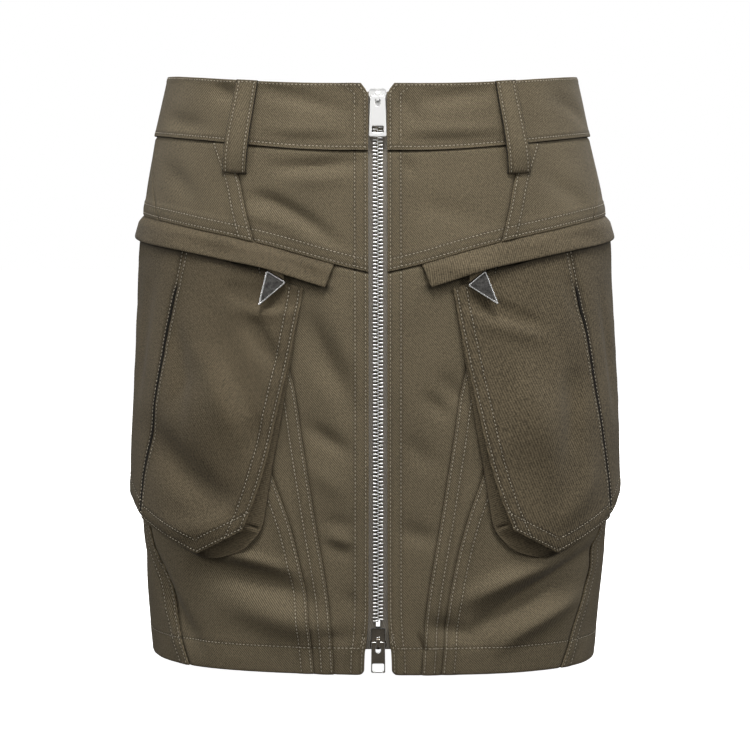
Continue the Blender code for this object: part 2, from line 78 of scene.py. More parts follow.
# ---------------------------------------------------------------- sizes, mm
BAND_LIFT = 0.8
TOP_FRONT_DIP = 8.3
TOP_BACK_DIP = 5.0
BAND_SEAM_SIDE = -40.7
BAND_SEAM_FRONT_DIP = 12.0
BAND_SEAM_BACK_DIP = 7.0
HEM_HEIGHT = -399.0
HEM_HANG = 1.6
HEM_CORNER = 3.6
BAND_CORNER_FOOT = -14.5
BAND_CORNER_SLANT = 0.75
LOOP_WIDTH = 15.0
LOOP_LENGTH = 62.0
LOOP_LIFT = 2.5
LOOP_STAND = 3.6
LOOP_ANGLES = (("loop_front_l", -46.4), ("loop_front_r", 46.4), ("loop_back_l", -118.0),
               ("loop_back_r", 118.0), ("loop_back_centre", 180.0))
TAPE_INNER = 1.3
TAPE_OUTER = 15.0
TAPE_LIFT = -1.9
TAPE_TOP = -13.5
TAPE_BOTTOM = -382.0
CHAIN_TOP = -27.0
CHAIN_BOTTOM = -365.6
SLIDER_TOP = -19.3
SLIDER_BOTTOM = -374.0
FLAP_END = 86.0
FLAP_THICKNESS = 1.8
FLAP_FREE_LIFT = 2.9
FLAP_SPRING = 2.6
FLAP_SPRING_ANGLE = 33.0
FLAP_ROOT_LIFT = -0.75
FLAP_END_ANGLE = 14.6
UNDER_POCKET = 1.5
UNDER_FLAP = 2.3
POCKET_CLEARANCE = 1.0
POCKET_WALL = 1.8
TUCK = 2.4
HEM_DEPTH = 18.0
LOOP_CLOTH = 1.6
POCKET_CLOTH = 1.4
GUSSET_CLOTH = 1.1
GUSSET_RIM = 0.3
FLAP_CLOTH = 1.6
DROP_TAB_CLOTH = 1.0
TAPE_CLOTH = 0.8
STITCH_SHARE = 0.6
FLOOR_GAP = 0.6

# Sliders and pull tabs have their own millimetres: X across, Y into the body, Z up the zip.
SLIDER_HALF = 4.8
SLIDER_BACK_LENGTH = 6.9
SLIDER_FRONT = -2.6
SLIDER_INSIDE = -1.2
SLIDER_SHOULDERS = ((3.4, 1.2), (2.4, 0.97), (1.2, 0.76))
SLIDER_PLATE_GAP = 5.8
SLIDER_RAIL = 0.9
SLIDER_RAIL_DEPTH = 0.35
BRIDGE_HALF = 3.8
BRIDGE_OUT = -6.4
METAL_RIM = 0.3
PULL_HALF_THICKNESS = 0.7
PULL_STAND = 3.9
Pull = namedtuple("Pull", "head foot length window_foot window_head window_half")
PULL_TOP = Pull(4.9, 5.75, 26.3, -23.6, -19.2, 3.9)
PULL_BOTTOM = Pull(4.5, 4.7, 19.6, -18.7, -13.4, 3.9)
BRIDGE_TOP = 1.0
BRIDGE_BOTTOM = -3.0

# ---------------------------------------------------------------- the body and its seams
Section = namedtuple("Section", "height half_width right_trim front_depth back_depth squareness")
BODY = [Section(*row) for row in (
    (3, 143, 4.2, 94, 103, 2.25),
    (-40, 152, 3.4, 100, 110, 2.30),
    (-95, 161.3, 1, 108, 120, 2.35),
    (-159, 164, 0.2, 113, 127, 2.40),
    (-229, 164.5, 0, 115, 128, 2.45),
    (-299, 163, 0.6, 116, 126, 2.50),
    (-349, 159.5, 1.2, 116, 124, 2.55),
    (-404, 154.5, 2, 115, 121, 2.60),
)]
WIDEST = 164.5

# A level runs round the body: its height at each angle from the centre front.
YOKE_SEAM = ((0, -134.2), (15, -127.3), (35, -115.4), (50, -107.5), (70, -98.5),
             (90, -94.5), (135, -101), (180, -113))
FLAP_HEM = ((12, -146), (17.4, -143), (27.5, -136.2), (35, -131), (43, -127),
            (62, -118.2), (88, -110))
POCKET_MOUTH = ((20, -146), (28, -141), (35, -135.5), (46, -126),
                (55, -118.5), (65, -112.5), (84, -106))
POCKET_POINT = 51.2
POCKET_BASE = ((36, -298.5), (39.2, -303), (POCKET_POINT, -320), (69, -300.5),
               (77.5, -285), (82, -276))

# A seam runs down the body: its angle at each height.
YOKE_SLANT = ((-40, 52), (-69, 45.7), (-90, 42.7), (-115, 39))
YOKE_SIDE = ((-38, 82.5), (-72, 77), (-86, 73), (-100, 69))
INSERT_INNER = ((-105, 37), (-150, 32), (-192, 28.5), (-213, 26.1),
                (-246, 23.8), (-272, 21.9), (-300, 19.8), (-334, 17.1),
                (-360, 15.5), (-405, 14.2))
INSERT_OUTER = ((-95, 56), (-200, 42), (-240, 36), (-267, 32.5),
                (-293, 28.4), (-310, 26.2), (-335, 23.7), (-357, 22.1),
                (-405, 20.3))
SIDE_SEAM = ((-90, 90), (-200, 86.5), (-265, 79), (-312, 72), (-339, 66.5),
             (-370, 61.2), (-405, 55.8))
POCKET_INNER = ((-135, 23.6), (-163, 25.4), (-189, 27.4), (-229, 30.8),
                (-249, 32.5), (-267, 34.3), (-282, 36.1), (-303, 39.2),
                (-325, 43))
POCKET_FOLD = ((-105, 57.8), (-124, 58.6), (-163, 61.4), (-203, 63.6),
               (-247, 66.4), (-276, 68.5), (-310, 69.8))
POCKET_OUTER = ((-100, 81), (-205, 79.4), (-260, 78.5), (-300, 77.3))
FRONT_EDGE = ((-10, 6.3), (-355, 6.3), (-378, 7.6), (-384, 8.6), (-405, 9.2))

# How far the pocket's outer skin stands off the body at each height.
POCKET_STAND = ((-100, 2.1), (-145, 2.2), (-180, 3.6), (-220, 5.4), (-260, 7.8),
                (-285, 9.3), (-300, 9.6), (-325, 9.2))

# The bellows strip. Each row: angle and height where it is sewn to the body, then where it
# meets the pocket face.
GUSSET = (
    (26.5, -178, 26.9, -178), (28.3, -205, 29.3, -205),
    (30.2, -235, 31.8, -235), (32.2, -262, 34.3, -261),
    (33.6, -284, 36.8, -283), (34.8, -300, 38.9, -296),
    (37.4, -310, 40.6, -302.5), (42, -319, 45.5, -309.5),
    (50.5, -323, 51.2, -317.6), (60.5, -314, 60, -308),
    (66.5, -307, 66, -301.8), (71, -302, 69.8, -297),
    (76, -295.5, 73.8, -289.8), (80.5, -285, 76.6, -282.5),
    (81.8, -268, 77.4, -268), (81.9, -235, 78, -235),
    (81.6, -205, 78.5, -205), (80.8, -178, 78.9, -178),
)
GUSSET_FOOT_LIFT = 1.7
GUSSET_ROWS = (0.12, 0.42)
GUSSET_MITRE = 5.25

# The tabs that hold the metal drops: side, angle and height of the drop, and its lean.
DropTab = namedtuple("DropTab", "side angle height lean")
DROP_TABS = (DropTab(LEFT, 32.0, -136.6, 30.0), DropTab(RIGHT, 31.2, -137.6, 38.0))
DROP_TAB_WIDTH = 10.3
DROP_TAB_LENGTH = 12.0

# ---------------------------------------------------------------- folds in the cloth
Fold = namedtuple("Fold", "start middle end width depth")


def folds(*rows):
    """Folds from rows of three places (angle, height), a width and a depth (below 0, a trough)."""
    return [Fold(row[0:2], row[2:4], row[4:6], *row[6:]) for row in rows]


FOLD_STRENGTH = 1.9
FOLD_SHARPNESS = 0.9
BAND_FOLDS = folds(
    (-58, -10, -53, -14, -48, -17, 6.5, -2), (-43, -13, -30, -18, -12, -27, 6, -1.5),
    (-38, -45, -27, -46.5, -13, -47, 4.6, -0.9), (-40, -38, -27, -40, -14, -40, 4, 0.7),
    (8, -17, 12, -24, 15, -33, 5, -1.2), (16, -20, 28, -17, 43, -13, 5.5, -1.3),
    (11, -47, 27, -46.5, 45, -44.5, 4.6, -1), (10, -40, 27, -39.5, 44, -38, 4, 0.9),
    (-75, -28, -66, -33, -58, -36, 6, -1.1), (62, -16, 70, -22, 78, -30, 6, -1.1),
    (-135, -16, -148, -22, -162, -26, 6, -1.4), (100, -30, 108, -35, 113, -38, 5, -1.2),
    (132, -18, 150, -20, 166, -15, 6, -1.5),
)
YOKE_FOLDS = folds(
    (-36, -64, -21, -62.5, -7, -60.5, 4.6, -2), (-30, -73, -20, -72, -9, -71, 5.5, 0.8),
    (-41, -84, -31, -90, -14, -113, 5.4, -2.1), (-44, -94, -33, -101, -22, -112, 5, 0.9),
    (9, -58, 11, -63, 12.5, -69, 3.4, -1.2), (12, -86, 22, -92, 31, -96, 9, -0.9),
    (54, -70, 62, -80, 68, -88, 8, -1), (-72, -62, -64, -72, -58, -84, 8, -1),
    (-105, -64, -122, -70, -140, -72, 6.5, -2), (-150, -84, -162, -80, -174, -70, 7.5, -1.8),
    (98, -78, 112, -74, 128, -62, 7, -2), (140, -66, 156, -72, 172, -88, 6.5, -1.7),
)
BODY_FOLDS = folds(
    (-24, -158, -17, -189, -9.5, -222, 8.5, -2.8), (-13, -160, -11, -180, -8, -196, 7, 0.9),
    (-22, -234, -16, -243, -10, -252, 6.5, -2), (-21, -262, -16, -270, -11, -282, 8, 1),
    (-17, -296, -12.5, -298, -8.5, -300, 4.6, -0.9), (-16, -306, -12.7, -309, -9, -311, 3.8, 1),
    (-16, -313, -12, -316, -8, -319, 5, -0.9), (-11.5, -345, -8.8, -350, -6.5, -357, 5, -0.7),
    (-21, -372, -14, -374, -7, -373, 5.6, -0.9), (-48, -321, -39, -323, -27, -330, 5, 2),
    (-53, -330, -40, -334, -22, -349, 9.5, -3.2), (-44, -353, -28, -363, -13, -373, 12, 2.8),
    (-69, -330, -64, -352, -54, -382, 8, -3), (15, -213, 18.7, -221, 22, -229, 5.5, -1.6),
    (20, -200, 23.3, -210, 26, -219, 5.5, -1.6), (9, -240, 13, -252, 18, -260, 8, -1.2),
    (8, -300, 13, -306, 19, -308, 7, -1.2), (13.2, -372, 14, -378, 15.2, -384, 1.7, -1.5),
    (16, -366, 22, -369, 28, -373, 7.5, -2), (27, -351, 40, -337, 53, -326, 7, 3.2),
    (30, -371, 49, -343, 75, -318, 7, -3.8), (37, -381, 48, -366, 61, -352, 7, 2.6),
    (-100, -130, -118, -150, -136, -160, 10, -2.6),
    (-150, -215, -138, -240, -122, -256, 11, -3),
    (-104, -300, -118, -330, -128, -366, 10, -3),
    (-168, -300, -152, -322, -134, -334, 9, 2.8),
    (-172, -334, -158, -352, -140, -364, 9, -3), (98, -150, 110, -172, 126, -184, 10, -2.8),
    (168, -140, 156, -152, 140, -156, 8, -2.2), (146, -230, 134, -262, 116, -284, 11, -3.2),
    (170, -270, 160, -290, 146, -300, 9, 2), (166, -322, 146, -338, 122, -340, 9, -3),
    (112, -352, 126, -366, 144, -374, 9, 2.2), (84, -318, 92, -340, 96, -366, 9, -2.4),
    (-82, -322, -88, -344, -94, -370, 9, -2.2),
)
POCKET_FOLDS = folds(
    (-57, -212, -47, -226, -38, -222, 30, 3.4), (38, -222, 47, -230, 56, -238, 30, 2.8),
    (-45, -145, -34, -150, -24, -151, 6, -2.2), (-44, -158, -35, -160, -28, -160, 5, 0.8),
    (-39, -164, -35.6, -179, -31, -195, 7, -2.4),
    (-37.5, -228, -36.8, -241, -37.5, -254, 6, -1.9),
    (-66, -240, -54, -268, -43, -291, 13, -3.4), (-54, -178, -47, -205, -41, -238, 11, 2),
    (-60, -166, -57, -200, -56, -236, 8, -1.4), (-62, -296, -52, -304, -42, -290, 8, 1.2),
    (29, -152, 38.4, -159, 47, -167, 5, -2.6), (31, -166, 40, -171, 50, -178, 6, 1),
    (57, -142, 60, -152, 60, -166, 7, -1.6), (57, -196, 56, -225, 55, -256, 11, -2),
    (40, -186, 45, -230, 50, -276, 12, 1.4), (62, -262, 58, -284, 50, -300, 9, 1.2),
    (70, -150, 73, -190, 74, -226, 7, -1.3), (-70, -140, -73, -180, -74, -214, 7, -1.4),
)
FLAP_FOLDS = folds(
    (-30, -123, -24, -131, -19, -136, 5, -0.9), (-60, -110, -50, -118, -42, -122, 6, -0.8),
    (22, -128, 28, -131, 36, -124, 5, 0.9), (52, -112, 62, -110, 70, -112, 5, -0.8),
)


# ---------------------------------------------------------------- curves and the body
def step(low, high, at):
    """0 below low, 1 above high, and a smooth climb between."""
    t = np.clip((at - low) / (high - low), 0, 1)
    return t * t * (3 - 2 * t)


def near(distance, reach):
    """1 at no distance, falling smoothly to almost nothing at twice the reach."""
    return np.exp(-(distance / reach) ** 2)


def curve(rows, at):
    """The second column of rows at values of the first, on one smooth curve."""
    keys, values = np.array(sorted((row[0], row[1]) for row in rows), float).T
    at = np.clip(at, keys[0], keys[-1])
    i = np.clip(np.searchsorted(keys, at) - 1, 0, len(keys) - 2)
    low = np.maximum(np.arange(len(keys)) - 1, 0)
    high = np.minimum(np.arange(len(keys)) + 1, len(keys) - 1)
    slopes = (values[high] - values[low]) / (keys[high] - keys[low])
    span = keys[i + 1] - keys[i]
    t = (at - keys[i]) / span
    return (values[i] * (2 * t ** 3 - 3 * t ** 2 + 1) + slopes[i] * span * (t ** 3 - 2 * t ** 2 + t)
            + values[i + 1] * (3 * t ** 2 - 2 * t ** 3) + slopes[i + 1] * span * (t ** 3 - t ** 2))


def body_radius(angle, height):
    column = {}
    for name in Section._fields[1:]:
        column[name] = curve([(row.height, getattr(row, name)) for row in BODY], height)
    turn = np.radians(angle)
    depth = np.where(np.cos(turn) > 0, column["front_depth"], column["back_depth"])
    trim = np.where(np.sin(turn) > 0, column["right_trim"], 0.0)
    power = column["squareness"]
    across = np.abs(np.sin(turn) / (column["half_width"] - trim)) ** power
    along = np.abs(np.cos(turn) / depth) ** power
    return (across + along) ** (-1 / power)


def skin(angle, height):
    """Points of the body surface, in millimetres."""
    angle, height = np.broadcast_arrays(np.asarray(angle, float), np.asarray(height, float))
    turn = np.radians(angle)
    radius = body_radius(angle, height)
    return np.stack([radius * np.sin(turn), -radius * np.cos(turn), height], -1)


def unit(vectors):
    return vectors / np.linalg.norm(vectors, axis=-1, keepdims=True)


def outward(angle, height):
    across = skin(angle + 0.5, height) - skin(angle - 0.5, height)
    upward = skin(angle, height + 1) - skin(angle, height - 1)
    return unit(np.cross(across, upward))


def on_body(angle, height, lift):
    """Points in metres, lifted off the body surface."""
    return (skin(angle, height) + outward(angle, height) * np.asarray(lift)[..., None]) * MM


def mm_per_degree(angle, height):
    return np.linalg.norm(skin(angle + 0.5, height) - skin(angle - 0.5, height), axis=-1)


def degrees_for(distance, height):
    return np.degrees(distance / body_radius(0.0, height))


def run_along(path):
    """Distance along a path at each of its points."""
    return np.concatenate([[0.0], np.cumsum(np.linalg.norm(np.diff(path, axis=0), axis=-1))])


GIRTH_ANGLES = np.arange(-200.0, 200.5, 0.5)
GIRTH_HEIGHT = -229.0
GIRTH = run_along(skin(GIRTH_ANGLES, GIRTH_HEIGHT))
GIRTH -= GIRTH[len(GIRTH) // 2]


def round_body(angle, height):
    """Distance round the body from the centre front, in millimetres."""
    half_width = curve([(row.height, row.half_width) for row in BODY], height)
    return np.interp(angle, GIRTH_ANGLES, GIRTH) * half_width / WIDEST


def seam(rows):
    return lambda height: curve(rows, height)


def dip(angle, power):
    return 1 - np.abs(np.sin(np.radians(angle))) ** power


def waist_top(angle):
    return -np.where(np.abs(angle) < 90, TOP_FRONT_DIP, TOP_BACK_DIP) * dip(angle, 4)


def band_seam(angle):
    front = np.abs(angle) < 90
    return BAND_SEAM_SIDE - np.where(front, BAND_SEAM_FRONT_DIP, BAND_SEAM_BACK_DIP) * dip(angle, 3)


def hem(angle):
    """The hem, with the corners by the zip rounded off."""
    level = HEM_HEIGHT - HEM_HANG * np.sin(np.radians(angle))
    from_zip = (np.abs(angle) - degrees_for(FRONT_EDGE[-1][1], HEM_HEIGHT)) * 2.0
    short = np.clip(HEM_CORNER - from_zip, 0, HEM_CORNER)
    return level + HEM_CORNER - np.sqrt(HEM_CORNER ** 2 - short ** 2 * 0.98)


def yoke_seam(angle):
    return curve(YOKE_SEAM, np.abs(angle))


def flap_hem(angle):
    return curve(FLAP_HEM, np.abs(angle))


def pocket_mouth(angle):
    return curve(POCKET_MOUTH, np.abs(angle))


def pocket_base(angle):
    angles, heights = zip(*POCKET_BASE)
    return np.interp(np.abs(angle), angles, heights)


def constant(value):
    """An edge at one angle, or a level at one height."""
    return lambda place: np.full(np.shape(place), value)


def front_edge(height):
    return degrees_for(curve(FRONT_EDGE, height), height)


def band_front_edge(height):
    corner = np.maximum(0.0, height - BAND_CORNER_FOOT) * BAND_CORNER_SLANT
    return degrees_for(FRONT_EDGE[0][1] + corner, height)


# ---------------------------------------------------------------- lifts
def flat_lift(value):
    return lambda angle, height: np.full(np.shape(height), value)


def pocket_lift(angle, height):
    return curve(POCKET_STAND, height)


def flap_inner_lift(angle, height):
    down = (yoke_seam(angle) - height) / (yoke_seam(angle) - flap_hem(angle))
    spring = FLAP_SPRING * np.exp(-((np.abs(angle) - FLAP_SPRING_ANGLE) / 9.0) ** 2)
    return 0.4 + (FLAP_FREE_LIFT + spring) * down


def flap_lift(angle, height):
    """The flap comes out from under the yoke's edge and springs off the pocket."""
    free = flap_inner_lift(angle, height) + FLAP_THICKNESS
    below = yoke_seam(angle) - height
    return FLAP_ROOT_LIFT + (free - FLAP_ROOT_LIFT) * step(-2.0, 5.5, below)


def loop_lift(angle, height):
    """A belt loop hugs the band at its top and bellies out above its turned lower end."""
    down = np.clip((waist_top(angle) - height) / LOOP_LENGTH, 0, 1)
    bow = np.sin(np.pi * down ** 1.9) ** 0.75
    return BAND_LIFT * (1 - down) + LOOP_LIFT + LOOP_STAND * bow


def drop_tab_lift(angle, height):
    return flap_inner_lift(angle, np.maximum(height, flap_hem(angle))) - 0.3


# ---------------------------------------------------------------- cloth relief
def ripple(angle, height, size, seed):
    """Smooth bumps of about the given size, from -1 to 1, that meet at the centre back."""
    columns = round(900 / size)
    lattice = np.random.default_rng(seed).uniform(-1, 1, (columns, 97))
    x = (np.asarray(angle) + 180) / 360 * columns
    y = np.asarray(height) / size + 400
    i, j = np.floor(x).astype(int), np.floor(y).astype(int)
    s, t = x - i, y - j
    s, t = s * s * (3 - 2 * s), t * t * (3 - 2 * t)

    def corner(right, up):
        return lattice[(i + right) % columns, (j + up) % 97]

    low = corner(0, 0) * (1 - s) + corner(1, 0) * s
    high = corner(0, 1) * (1 - s) + corner(1, 1) * s
    return low * (1 - t) + high * t


def softness(angle, height):
    """The slight unevenness that all layers of cloth share; none at the zip."""
    relief = 0.45 * ripple(angle, height, 46, 3) + 0.22 * ripple(angle, height, 19, 5)
    return relief * step(5.0, 14.0, np.abs(round_body(angle, height)))


def creases(folds, angle, height):
    """The height that the listed folds add."""
    x = round_body(angle, height)
    total = np.zeros(np.shape(x))
    t = np.linspace(0, 1, 13)
    weights = np.stack([(2 * t - 1) * (t - 1), 4 * t * (1 - t), t * (2 * t - 1)], -1)
    for fold in folds:
        run = weights @ np.array([fold.start, fold.middle, fold.end], float)
        line = np.stack([round_body(run[:, 0], run[:, 1]), run[:, 1]], -1)
        close = (np.abs(x - line[:, 0].mean()) < np.ptp(line[:, 0]) / 2 + 3 * fold.width + 5)
        close &= (np.abs(height - line[:, 1].mean()) < np.ptp(line[:, 1]) / 2 + 3 * fold.width + 5)
        if not close.any():
            continue
        px, py = x[close], height[close]
        best = np.full(px.shape, np.inf)
        place = np.zeros(px.shape)
        for k in range(len(line) - 1):
            leg = line[k + 1] - line[k]
            share = np.clip(((px - line[k, 0]) * leg[0] + (py - line[k, 1]) * leg[1])
                            / (leg @ leg), 0, 1)
            gap = np.hypot(px - line[k, 0] - share * leg[0], py - line[k, 1] - share * leg[1])
            closer = gap < best
            best[closer] = gap[closer]
            place[closer] = (k + share[closer]) / (len(line) - 1)
        fade = np.sin(np.pi * (0.06 + 0.88 * place)) ** 0.8
        profile = near(best, FOLD_SHARPNESS * fold.width)
        total[close] += FOLD_STRENGTH * fold.depth * fade * profile
    return total


def under_pocket(angle, height):
    """1 where a pocket covers the body cloth."""
    a = np.abs(angle)
    sides = step(0, 2.5, a - curve(POCKET_INNER, height)) * step(0, 3, 81.5 - a)
    return sides * step(0, 10, height - pocket_base(a) - 4)


# ---------------------------------------------------------------- sewing
# An edge's finish: how far it rises over its neighbour, where its stitch rows lie, how far
# it runs on under its neighbour, how far it dips to do so, and how much its rim rolls.
Finish = namedtuple("Finish", "rise rows tuck dip roll start stop", defaults=(0.3, 0.7, 0.7))


def lap(*rows, rise=0.75, roll=0.3, start=0.7, stop=0.7):
    """An edge that lies over its neighbour."""
    return Finish(rise, rows, 0.0, 0.0, roll, start, stop)


def turned(*rows):
    """A free edge, turned in and stitched."""
    return lap(*rows, rise=0.4, roll=0.45)


UNDER = Finish(0.0, (), TUCK, 1.15, 0.0)
PLAIN = Finish(0.0, (), 0.0, 0.0, 0.0)
EDGES = ("left", "right", "top", "bottom")
# A sheet's own area, as a share of the rectangle round it.
SMALLEST_SHARE = 0.301
LARGEST_SHARE = 0.999
# Points along a stitch row, how deep it sinks, and the step that finds the cloth's facing.
ROW_POINTS = 240
STITCH_SINK = 0.32
NUDGE = 0.0015


def edge_profile(finish, distance, angle, height):
    """Relief beside one edge of a piece."""
    relief = -finish.roll * near(distance, 0.8)
    if finish.rise:
        outer = max(finish.rows, default=2.0)
        relief = relief + finish.rise * (1 - step(outer + 0.4, outer + 3.2, distance))
        pull = near(distance - outer * 0.6, outer * 0.7 + 2.5)
        relief = relief + 0.2 * ripple(angle, height, 6.5, 11) * pull
    for row in finish.rows:
        relief = relief - STITCH_SINK * near(distance - row, 0.85)
    if finish.dip:
        relief = relief - finish.dip * (1 - step(-0.6, 2.8, distance))
    return relief


def marks(finish, spacing):
    """Distances from an edge at which the mesh needs a line."""
    found = [0.0]
    if finish.tuck:
        found += [-finish.tuck, -finish.tuck / 2]
    if finish != PLAIN:
        found += [0.8, 1.7, 2.8]
    for row in finish.rows:
        found += [row - 0.9, row, row + 0.9]
    if finish.rise:
        found += [max(finish.rows, default=2.0) + 2.6]
    kept = []
    for mark in sorted(found):
        if not kept or mark - kept[-1] > 0.45:
            kept.append(mark)
    filled = []
    for this, after in zip(kept, kept[1:]):
        parts = max(1, math.ceil((after - this) / spacing))
        filled += [this + (after - this) * i / parts for i in range(parts)]
    return np.array(filled + [kept[-1]])


@dataclass
class Cloth:
    """One cloth piece between four edges; a place on it is a share across and down."""

    node: str
    side: int
    left: object
    right: object
    top: object
    bottom: object
    lift: object
    finishes: object
    folds: object = ()
    spacing: float = 2.6
    grain: float = 50.0
    extra: object = None
    rib: float = 1.0

    def __post_init__(self):
        self.finishes = dict(zip(EDGES, self.finishes))

    def spot(self, u, v):
        """Angle and height of a place."""
        u, v = np.broadcast_arrays(np.asarray(u, float), np.asarray(v, float))
        middle = (self.top(45.0 * self.side) + self.bottom(45.0 * self.side)) / 2
        height = np.full(u.shape, float(middle))
        for _ in range(9):
            low, high = self.left(height), self.right(height)
            angle = low + (high - low) * u
            upper, lower = self.top(angle * self.side), self.bottom(angle * self.side)
            height = upper + (lower - upper) * v
        return angle * self.side, height

    def spans(self, angle, height):
        """Width and depth of the piece through a place, and how edges slant there."""
        a = np.abs(angle)
        scale = mm_per_degree(angle, height)
        width = (self.right(height) - self.left(height)) * scale
        depth = self.top(angle) - self.bottom(angle)

        def down_slant(edge):
            rise = (edge(height + 2) - edge(height - 2)) / 4 * scale
            return np.sqrt(1 + rise ** 2)

        def level_slant(edge):
            rise = (edge(self.side * (a + 0.7)) - edge(self.side * (a - 0.7))) / 1.4 / scale
            return np.sqrt(1 + np.minimum(np.abs(rise), 1.5) ** 2)

        slants = (down_slant(self.left), down_slant(self.right),
                  level_slant(self.top), level_slant(self.bottom))
        return width, depth, dict(zip(EDGES, slants))

    def distances(self, u, v, angle, height):
        width, depth, slants = self.spans(angle, height)
        return {
            "left": u * width / slants["left"],
            "right": (1 - u) * width / slants["right"],
            "top": v * depth / slants["top"],
            "bottom": (1 - v) * depth / slants["bottom"],
        }

    def points(self, u, v):
        u, v = np.broadcast_arrays(np.asarray(u, float), np.asarray(v, float))
        angle, height = self.spot(u, v)
        away = self.distances(u, v, angle, height)
        relief = softness(angle, height) + creases(self.folds, angle, height)
        for edge in EDGES:
            relief = relief + edge_profile(self.finishes[edge], away[edge], angle, height)
        lift = self.lift(angle, height) + relief
        if self.extra:
            lift = self.extra(lift, angle, height, away)
        return on_body(angle, height, lift)

    def lines(self):
        """Shares across and down of the mesh's crossings."""
        middle_angle, middle_height = self.spot(0.5, 0.5)
        width, depth, _ = self.spans(middle_angle, middle_height)
        first, last, high, low = (marks(self.finishes[edge], self.spacing) for edge in EDGES)
        columns = max(2, math.ceil((float(width) - first[-1] - last[-1]) / self.spacing))
        rows = max(2, math.ceil((float(depth) - high[-1] - low[-1]) / self.spacing))

        def shares(begin, end, parts, length, begin_slant, end_slant):
            length = np.asarray(length)[..., None]
            begin = begin * np.asarray(begin_slant)[..., None]
            end = end * np.asarray(end_slant)[..., None]
            squeeze = np.minimum(1.0, 0.94 * length / (begin[..., -1:] + end[..., -1:] + 1e-6))
            begin, end = begin * squeeze, end * squeeze
            t = np.arange(1, parts) / parts
            middle = begin[..., -1:] + (length - end[..., -1:] - begin[..., -1:]) * t
            return np.concatenate([begin, middle, length - end[..., ::-1]], -1) / length

        rough_v = shares(high, low, rows, depth, 1.0, 1.0)
        rough_u = shares(first, last, columns, width, 1.0, 1.0)
        angle, height = self.spot(np.full(rough_v.shape, 0.5), np.clip(rough_v, 0, 1))
        width, _, slants = self.spans(angle, height)
        u = shares(first, last, columns, width, slants["left"], slants["right"])
        angle, height = self.spot(np.clip(rough_u, 0, 1), np.full(rough_u.shape, 0.5))
        _, depth, slants = self.spans(angle, height)
        v = shares(high, low, rows, depth, slants["top"], slants["bottom"]).T
        return u, v

    def row_path(self, edge, distance, share):
        """Shares of places along a stitch row at a distance from an edge."""
        u = {"left": 0.0, "right": 1.0}.get(edge, share)
        v = {"top": 0.0, "bottom": 1.0}.get(edge, share)
        u, v = np.broadcast_arrays(np.asarray(u, float), np.asarray(v, float))
        for _ in range(2):
            angle, height = self.spot(u, v)
            width, depth, slants = self.spans(angle, height)
            away = distance * slants[edge] / (width if edge in ("left", "right") else depth)
            if edge == "left":
                u = away
            elif edge == "right":
                u = 1 - away
            elif edge == "top":
                v = away
            else:
                v = 1 - away
        return u, v

    def stitch_rows(self):
        """Points along each stitch row, with the cloth's outward direction."""
        for edge, finish in self.finishes.items():
            for row in finish.rows:
                u, v = self.row_path(edge, row, np.linspace(0.0, 1.0, ROW_POINTS))
                path = self.points(u, v)
                run = run_along(path)
                kept = (run > finish.start * MM) & (run < run[-1] - finish.stop * MM)
                across = self.points(u + NUDGE, v) - self.points(u - NUDGE, v)
                down = self.points(u, v + NUDGE) - self.points(u, v - NUDGE)
                normal = unit(np.cross(down, across) * self.side)
                yield path[kept], normal[kept]


# ---------------------------------------------------------------- meshes
def deselect():
    if bpy.context.mode != "OBJECT":
        bpy.ops.object.mode_set(mode="OBJECT")
    bpy.ops.object.select_all(action="DESELECT")


def take(item):
    deselect()
    item.select_set(True)
    bpy.context.view_layer.objects.active = item


def put(name, data):
    """A new object in the scene."""
    item = bpy.data.objects.new(name, data)
    bpy.context.scene.collection.objects.link(item)
    return item


def mesh_item(name, corners, faces):
    mesh = bpy.data.meshes.new(name)
    mesh.from_pydata(corners, [], faces)
    mesh.update()
    return put(name, mesh)


def edit_all(item):
    take(item)
    bpy.ops.object.mode_set(mode="EDIT")
    bpy.ops.mesh.select_all(action="SELECT")


def leave_edit():
    bpy.ops.object.mode_set(mode="OBJECT")


def apply_last(item):
    """Applies an item's newest modifier."""
    take(item)
    bpy.ops.object.modifier_apply(modifier=item.modifiers[-1].name)


def grid_mesh(name, points, uv, fade, flip):
    """A sheet through rows of points; faces look outward unless flipped."""
    rows, columns = points.shape[:2]
    index = np.arange(rows * columns).reshape(rows, columns)
    corners = np.stack([index[:-1, :-1], index[1:, :-1], index[1:, 1:], index[:-1, 1:]], -1)
    corners = corners.reshape(-1, 4)
    if flip:
        corners = corners[:, ::-1]
    item = mesh_item(name, points.reshape(-1, 3).tolist(), corners.tolist())
    layer = item.data.uv_layers.new(name="cloth")
    layer.data.foreach_set("uv", uv.reshape(-1, 2)[corners.ravel()].ravel().astype(np.float32))
    # The fade attribute carries painted shade and paler worn edges.
    shade_and_wear = item.data.attributes.new("fade", "FLOAT", "POINT")
    shade_and_wear.data.foreach_set("value", fade.ravel().astype(np.float32))
    return item


def finish_sheet(item, thickness, material, slot, node, rim=0.4):
    wall = item.modifiers.new("wall", "SOLIDIFY")
    wall.thickness = thickness * MM
    wall.offset = -1
    edge = item.modifiers.new("turned edge", "BEVEL")
    edge.width = rim * MM
    edge.segments = 2
    edge.limit_method = "ANGLE"
    edge.angle_limit = math.radians(50)
    item.data.materials.append(material)
    take(item)
    bpy.ops.object.modifier_apply(modifier=wall.name)
    bpy.ops.object.modifier_apply(modifier=edge.name)
    bpy.ops.object.shade_smooth()
    deselect()
    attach(item, "skirt")
    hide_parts(node)


def weave_coordinates(angle, height, grain, rib=1.0):
    """Cloth coordinates in metres, across and along the twill; a larger rib is a wider line."""
    x = round_body(angle, height) * MM
    z = np.asarray(height) * MM
    turn = math.radians(grain)
    return np.stack([x * math.sin(turn) + z * math.cos(turn),
                     x * math.cos(turn) - z * math.sin(turn)], -1) / rib
